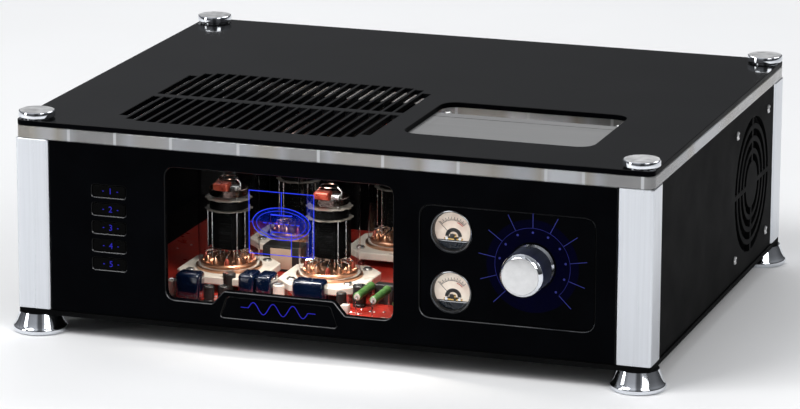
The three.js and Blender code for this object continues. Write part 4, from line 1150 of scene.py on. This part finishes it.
def electrodes(where, x, y):
    floor = box_of(f"tube_electrodes_{where}")[0][2]
    shape = Shape().at(x, y)
    tube_foot(shape, floor)
    tube_plates(shape)
    for height, radius in ((71, 14.4), (78, 14.2)):
        mica(shape, height, radius)
    rods = [(u, v, 80, 0.42) for u, v in four(8.4, 7.7)]
    rods += [(u, v, 82, 0.55) for u, v in (*four(4.6, 3.4), (0, 0))]
    rods += [(u, 0, 86, 0.55) for u in (-8, 8)]
    for u, v, top, radius in rods:
        shape.tube([(u, v, floor + 4), (u, v, top)], radius, 1)
    turns = [step * 0.55 for step in range(160)]
    helix = [(5.2 * math.cos(turn), 3.2 * math.sin(turn), 72.2 + step * 0.036) for step,
             turn in enumerate(turns)]
    shape.tube(helix, 0.18, 1, 5)
    shape.turned([(12.4, 71.9), (12.4, 77.9)], 0, 64)
    # A reddish-brown block at the top of the electrodes.
    shape.box((-9.5, -4.5, 79.5), (0.5, 4.5, 87.5), 1.2, 3, 6)
    shape.box((1.8, -3.5, 79.5), (7.5, 3.5, 86), 0.8, 2, 1)
    for side in (-1, 1):
        shape.tube([(side * 8, 0, 85), (side * 8, 0, 88), (side * 5.5, 0, 90.5)], 0.5, 1)
    shape.tube([(u, v, 91) for u, v in circle(0, 0, 5.6, 32)], 0.5, 5, closed=True)
    shape.turned([(12.2, 80.4), (12.6, 84.6), (12.2, 84.8), (11.8, 80.4)], 5, 48)
    shape.show(f"tube_structure_{where}", "plate rod mica bulb copper getter heated",
               f"tube_electrodes_{where}", "electrode_metal")


def getter_caps():
    """The silvery coat inside the top of each bulb."""
    shape = Shape()
    for place in TUBES.values():
        shape.at(*place).turned([(16.9, 104.4), (15.2, 107.2), (13.0, 109), (9, 112), (4.5, 114.2),
                                 (0, 114.9)], 0, 64)
    shape.show("getter_coats", "getter")


def tubes():
    for where, (x, y) in TUBES.items():
        socket(where, x, y)
        bulb(where, x, y)
        electrodes(where, x, y)
    getter_caps()


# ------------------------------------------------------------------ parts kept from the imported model

# The finish of each node, and the width of its bevel.
KEPT = {
    "base_plate": ("side", 0.5), "left_side_panel": ("panel", 0.3), "rear_panel": ("panel", 0.3),
    "hatch_cover": ("hatch", 0.3), "heatsink": ("winding", 0.3), "power_rocker": ("plastic", 0.4),
    "selector_board": ("green_board", 0.15), "volume_shaft": ("satin", 0),
    "volume_potentiometer": ("plastic", 0),
    "power_transformer": ("winding", 0), "fan_frame": ("plastic", 0), "mains_inlet": ("plastic", 0),
    "input_jacks": ("plastic", 0),
}


def kept_parts():
    for node, (key, width) in KEPT.items():
        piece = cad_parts[node]
        for slot in piece.material_slots:
            slot.material = F[key]
        if width > 0:
            bevel = piece.modifiers.new("edges", "BEVEL")
            bevel.width = width * MM
            bevel.segments = 2
            bevel.limit_method = "ANGLE"
            bevel.angle_limit = math.radians(40)


# ------------------------------------------------------------------ camera, floor and light, in metres

def camera():
    data = bpy.data.cameras.new("camera")
    data.sensor_width = 36
    data.lens = 186.37
    data.clip_end = 50
    viewer = add_object("camera", data)
    yaw, pitch, roll = (math.radians(angle) for angle in (18.4947, 14.3488, 0.2221))
    ahead = Vector((-math.sin(yaw) * math.cos(pitch), math.cos(yaw) * math.cos(pitch), -math.sin(pitch)))
    level = Vector((math.cos(yaw), math.sin(yaw), 0))
    upright = level.cross(ahead)
    right = level * math.cos(roll) + upright * math.sin(roll)
    up = upright * math.cos(roll) - level * math.sin(roll)
    turn = Matrix((right, up, -ahead)).transposed()
    viewer.matrix_world = Matrix.Translation((0.81879, -2.47156, 0.72642)) @ turn.to_4x4()
    bpy.context.scene.camera = viewer


def floor():
    part = bmesh.new()
    bmesh.ops.create_circle(part, cap_ends=True, segments=96, radius=9)
    mesh = bpy.data.meshes.new("floor")
    part.to_mesh(mesh)
    part.free()
    graph = Graph("floor")
    drift = graph.noise(3)
    mesh.materials.append(graph.done(Base_Color=graph.shades(drift, *greys(0.90, 0.93)),
                                     Roughness=graph.spread(drift, 0.7, 0.8), Specular_IOR_Level=0.1))
    ground = add_object("floor", mesh)
    ground.location.z = -0.0002


# Place, target, size and power of each lamp.
LAMPS = {
    "key": ((-1.4, -1.6, 2.4), (0, 0, 0.05), (1.6, 1.2), 51),
    "fill": ((1.9, -1.5, 1.7), (0, 0, 0.05), (1.2, 1.4), 31),
    "back": ((-0.3, 2.2, 2.2), (0, 0, 0.1), (2.2, 0.9), 24),
    "low_left": ((-1.7, -1.3, 0.55), (0, 0, 0.05), (0.5, 0.9), 7),
    "inside": ((-0.018, -0.148, 0.122), (0.0, -0.06, 0.02), (0.10, 0.012), 0.25),
}
# Brightness of the studio walls all round, as shares of a turn.
BACKDROP = [(0, 0), (0.01, 1), (0.1, 0.5), (0.16, 1.1), (0.25, 1.1), (0.28, 0.25), (0.325, 0.25), (0.35, 1),
            (0.40, 1), (0.43, 0.3), (0.55, 0.6), (0.7, 0.55), (0.775, 0.55), (0.825, 1), (0.99, 1), (1, 1)]


def area_light(name, place, target, size, power):
    data = bpy.data.lights.new(name, "AREA")
    data.shape = "RECTANGLE"
    data.size, data.size_y = size
    data.energy = power
    light = add_object(name, data)
    light.location = place
    light.rotation_mode = "QUATERNION"
    light.rotation_quaternion = (Vector(target) - Vector(place)).to_track_quat("-Z", "Y")
    light.visible_camera = False
    return data


def lights():
    lamps = {name: area_light(name, *lamp) for name, lamp in LAMPS.items()}
    lamps["inside"].color = (1, 0.93, 0.85)
    lamps["inside"].spread = math.radians(150)
    world = bpy.data.worlds.new("studio")
    world.use_nodes = True
    sky = Nodes(world.node_tree)
    place = sky.node("TexCoord", "Generated")
    height = sky.node("SeparateXYZ", "Z", Vector=place)
    rise = sky.ramp(height, [(0.0, (0.07, 0.07, 0.075)), (0.85, (0.78, 0.8, 0.84))])
    around = sky.node("TexGradient", "Fac", {"gradient_type": "RADIAL"}, Vector=place)
    walls = sky.ramp(around, [(position, grey(level)) for position, level in BACKDROP])
    both = sky.node("Mix", "Result", {"data_type": "RGBA", "blend_type": "MULTIPLY"}, Factor=1, A=rise,
                    B=walls)
    sky.feed(world.node_tree.nodes["Background"], Color=both, Strength=0.8)
    bpy.context.scene.world = world
    bpy.context.scene.view_settings.view_transform = "Standard"


# ------------------------------------------------------------------ everything

camera()
floor()
lights()
kept_parts()
pillars()
feet()
thumb_nuts()
front_panel()
control_plate()
buttons()
meters()
volume_control()
window_pieces()
deck()
right_side()
fan_rotor()
rear_details()
speaker_posts()
mains_parts()
main_board()
board_parts()
tubes()
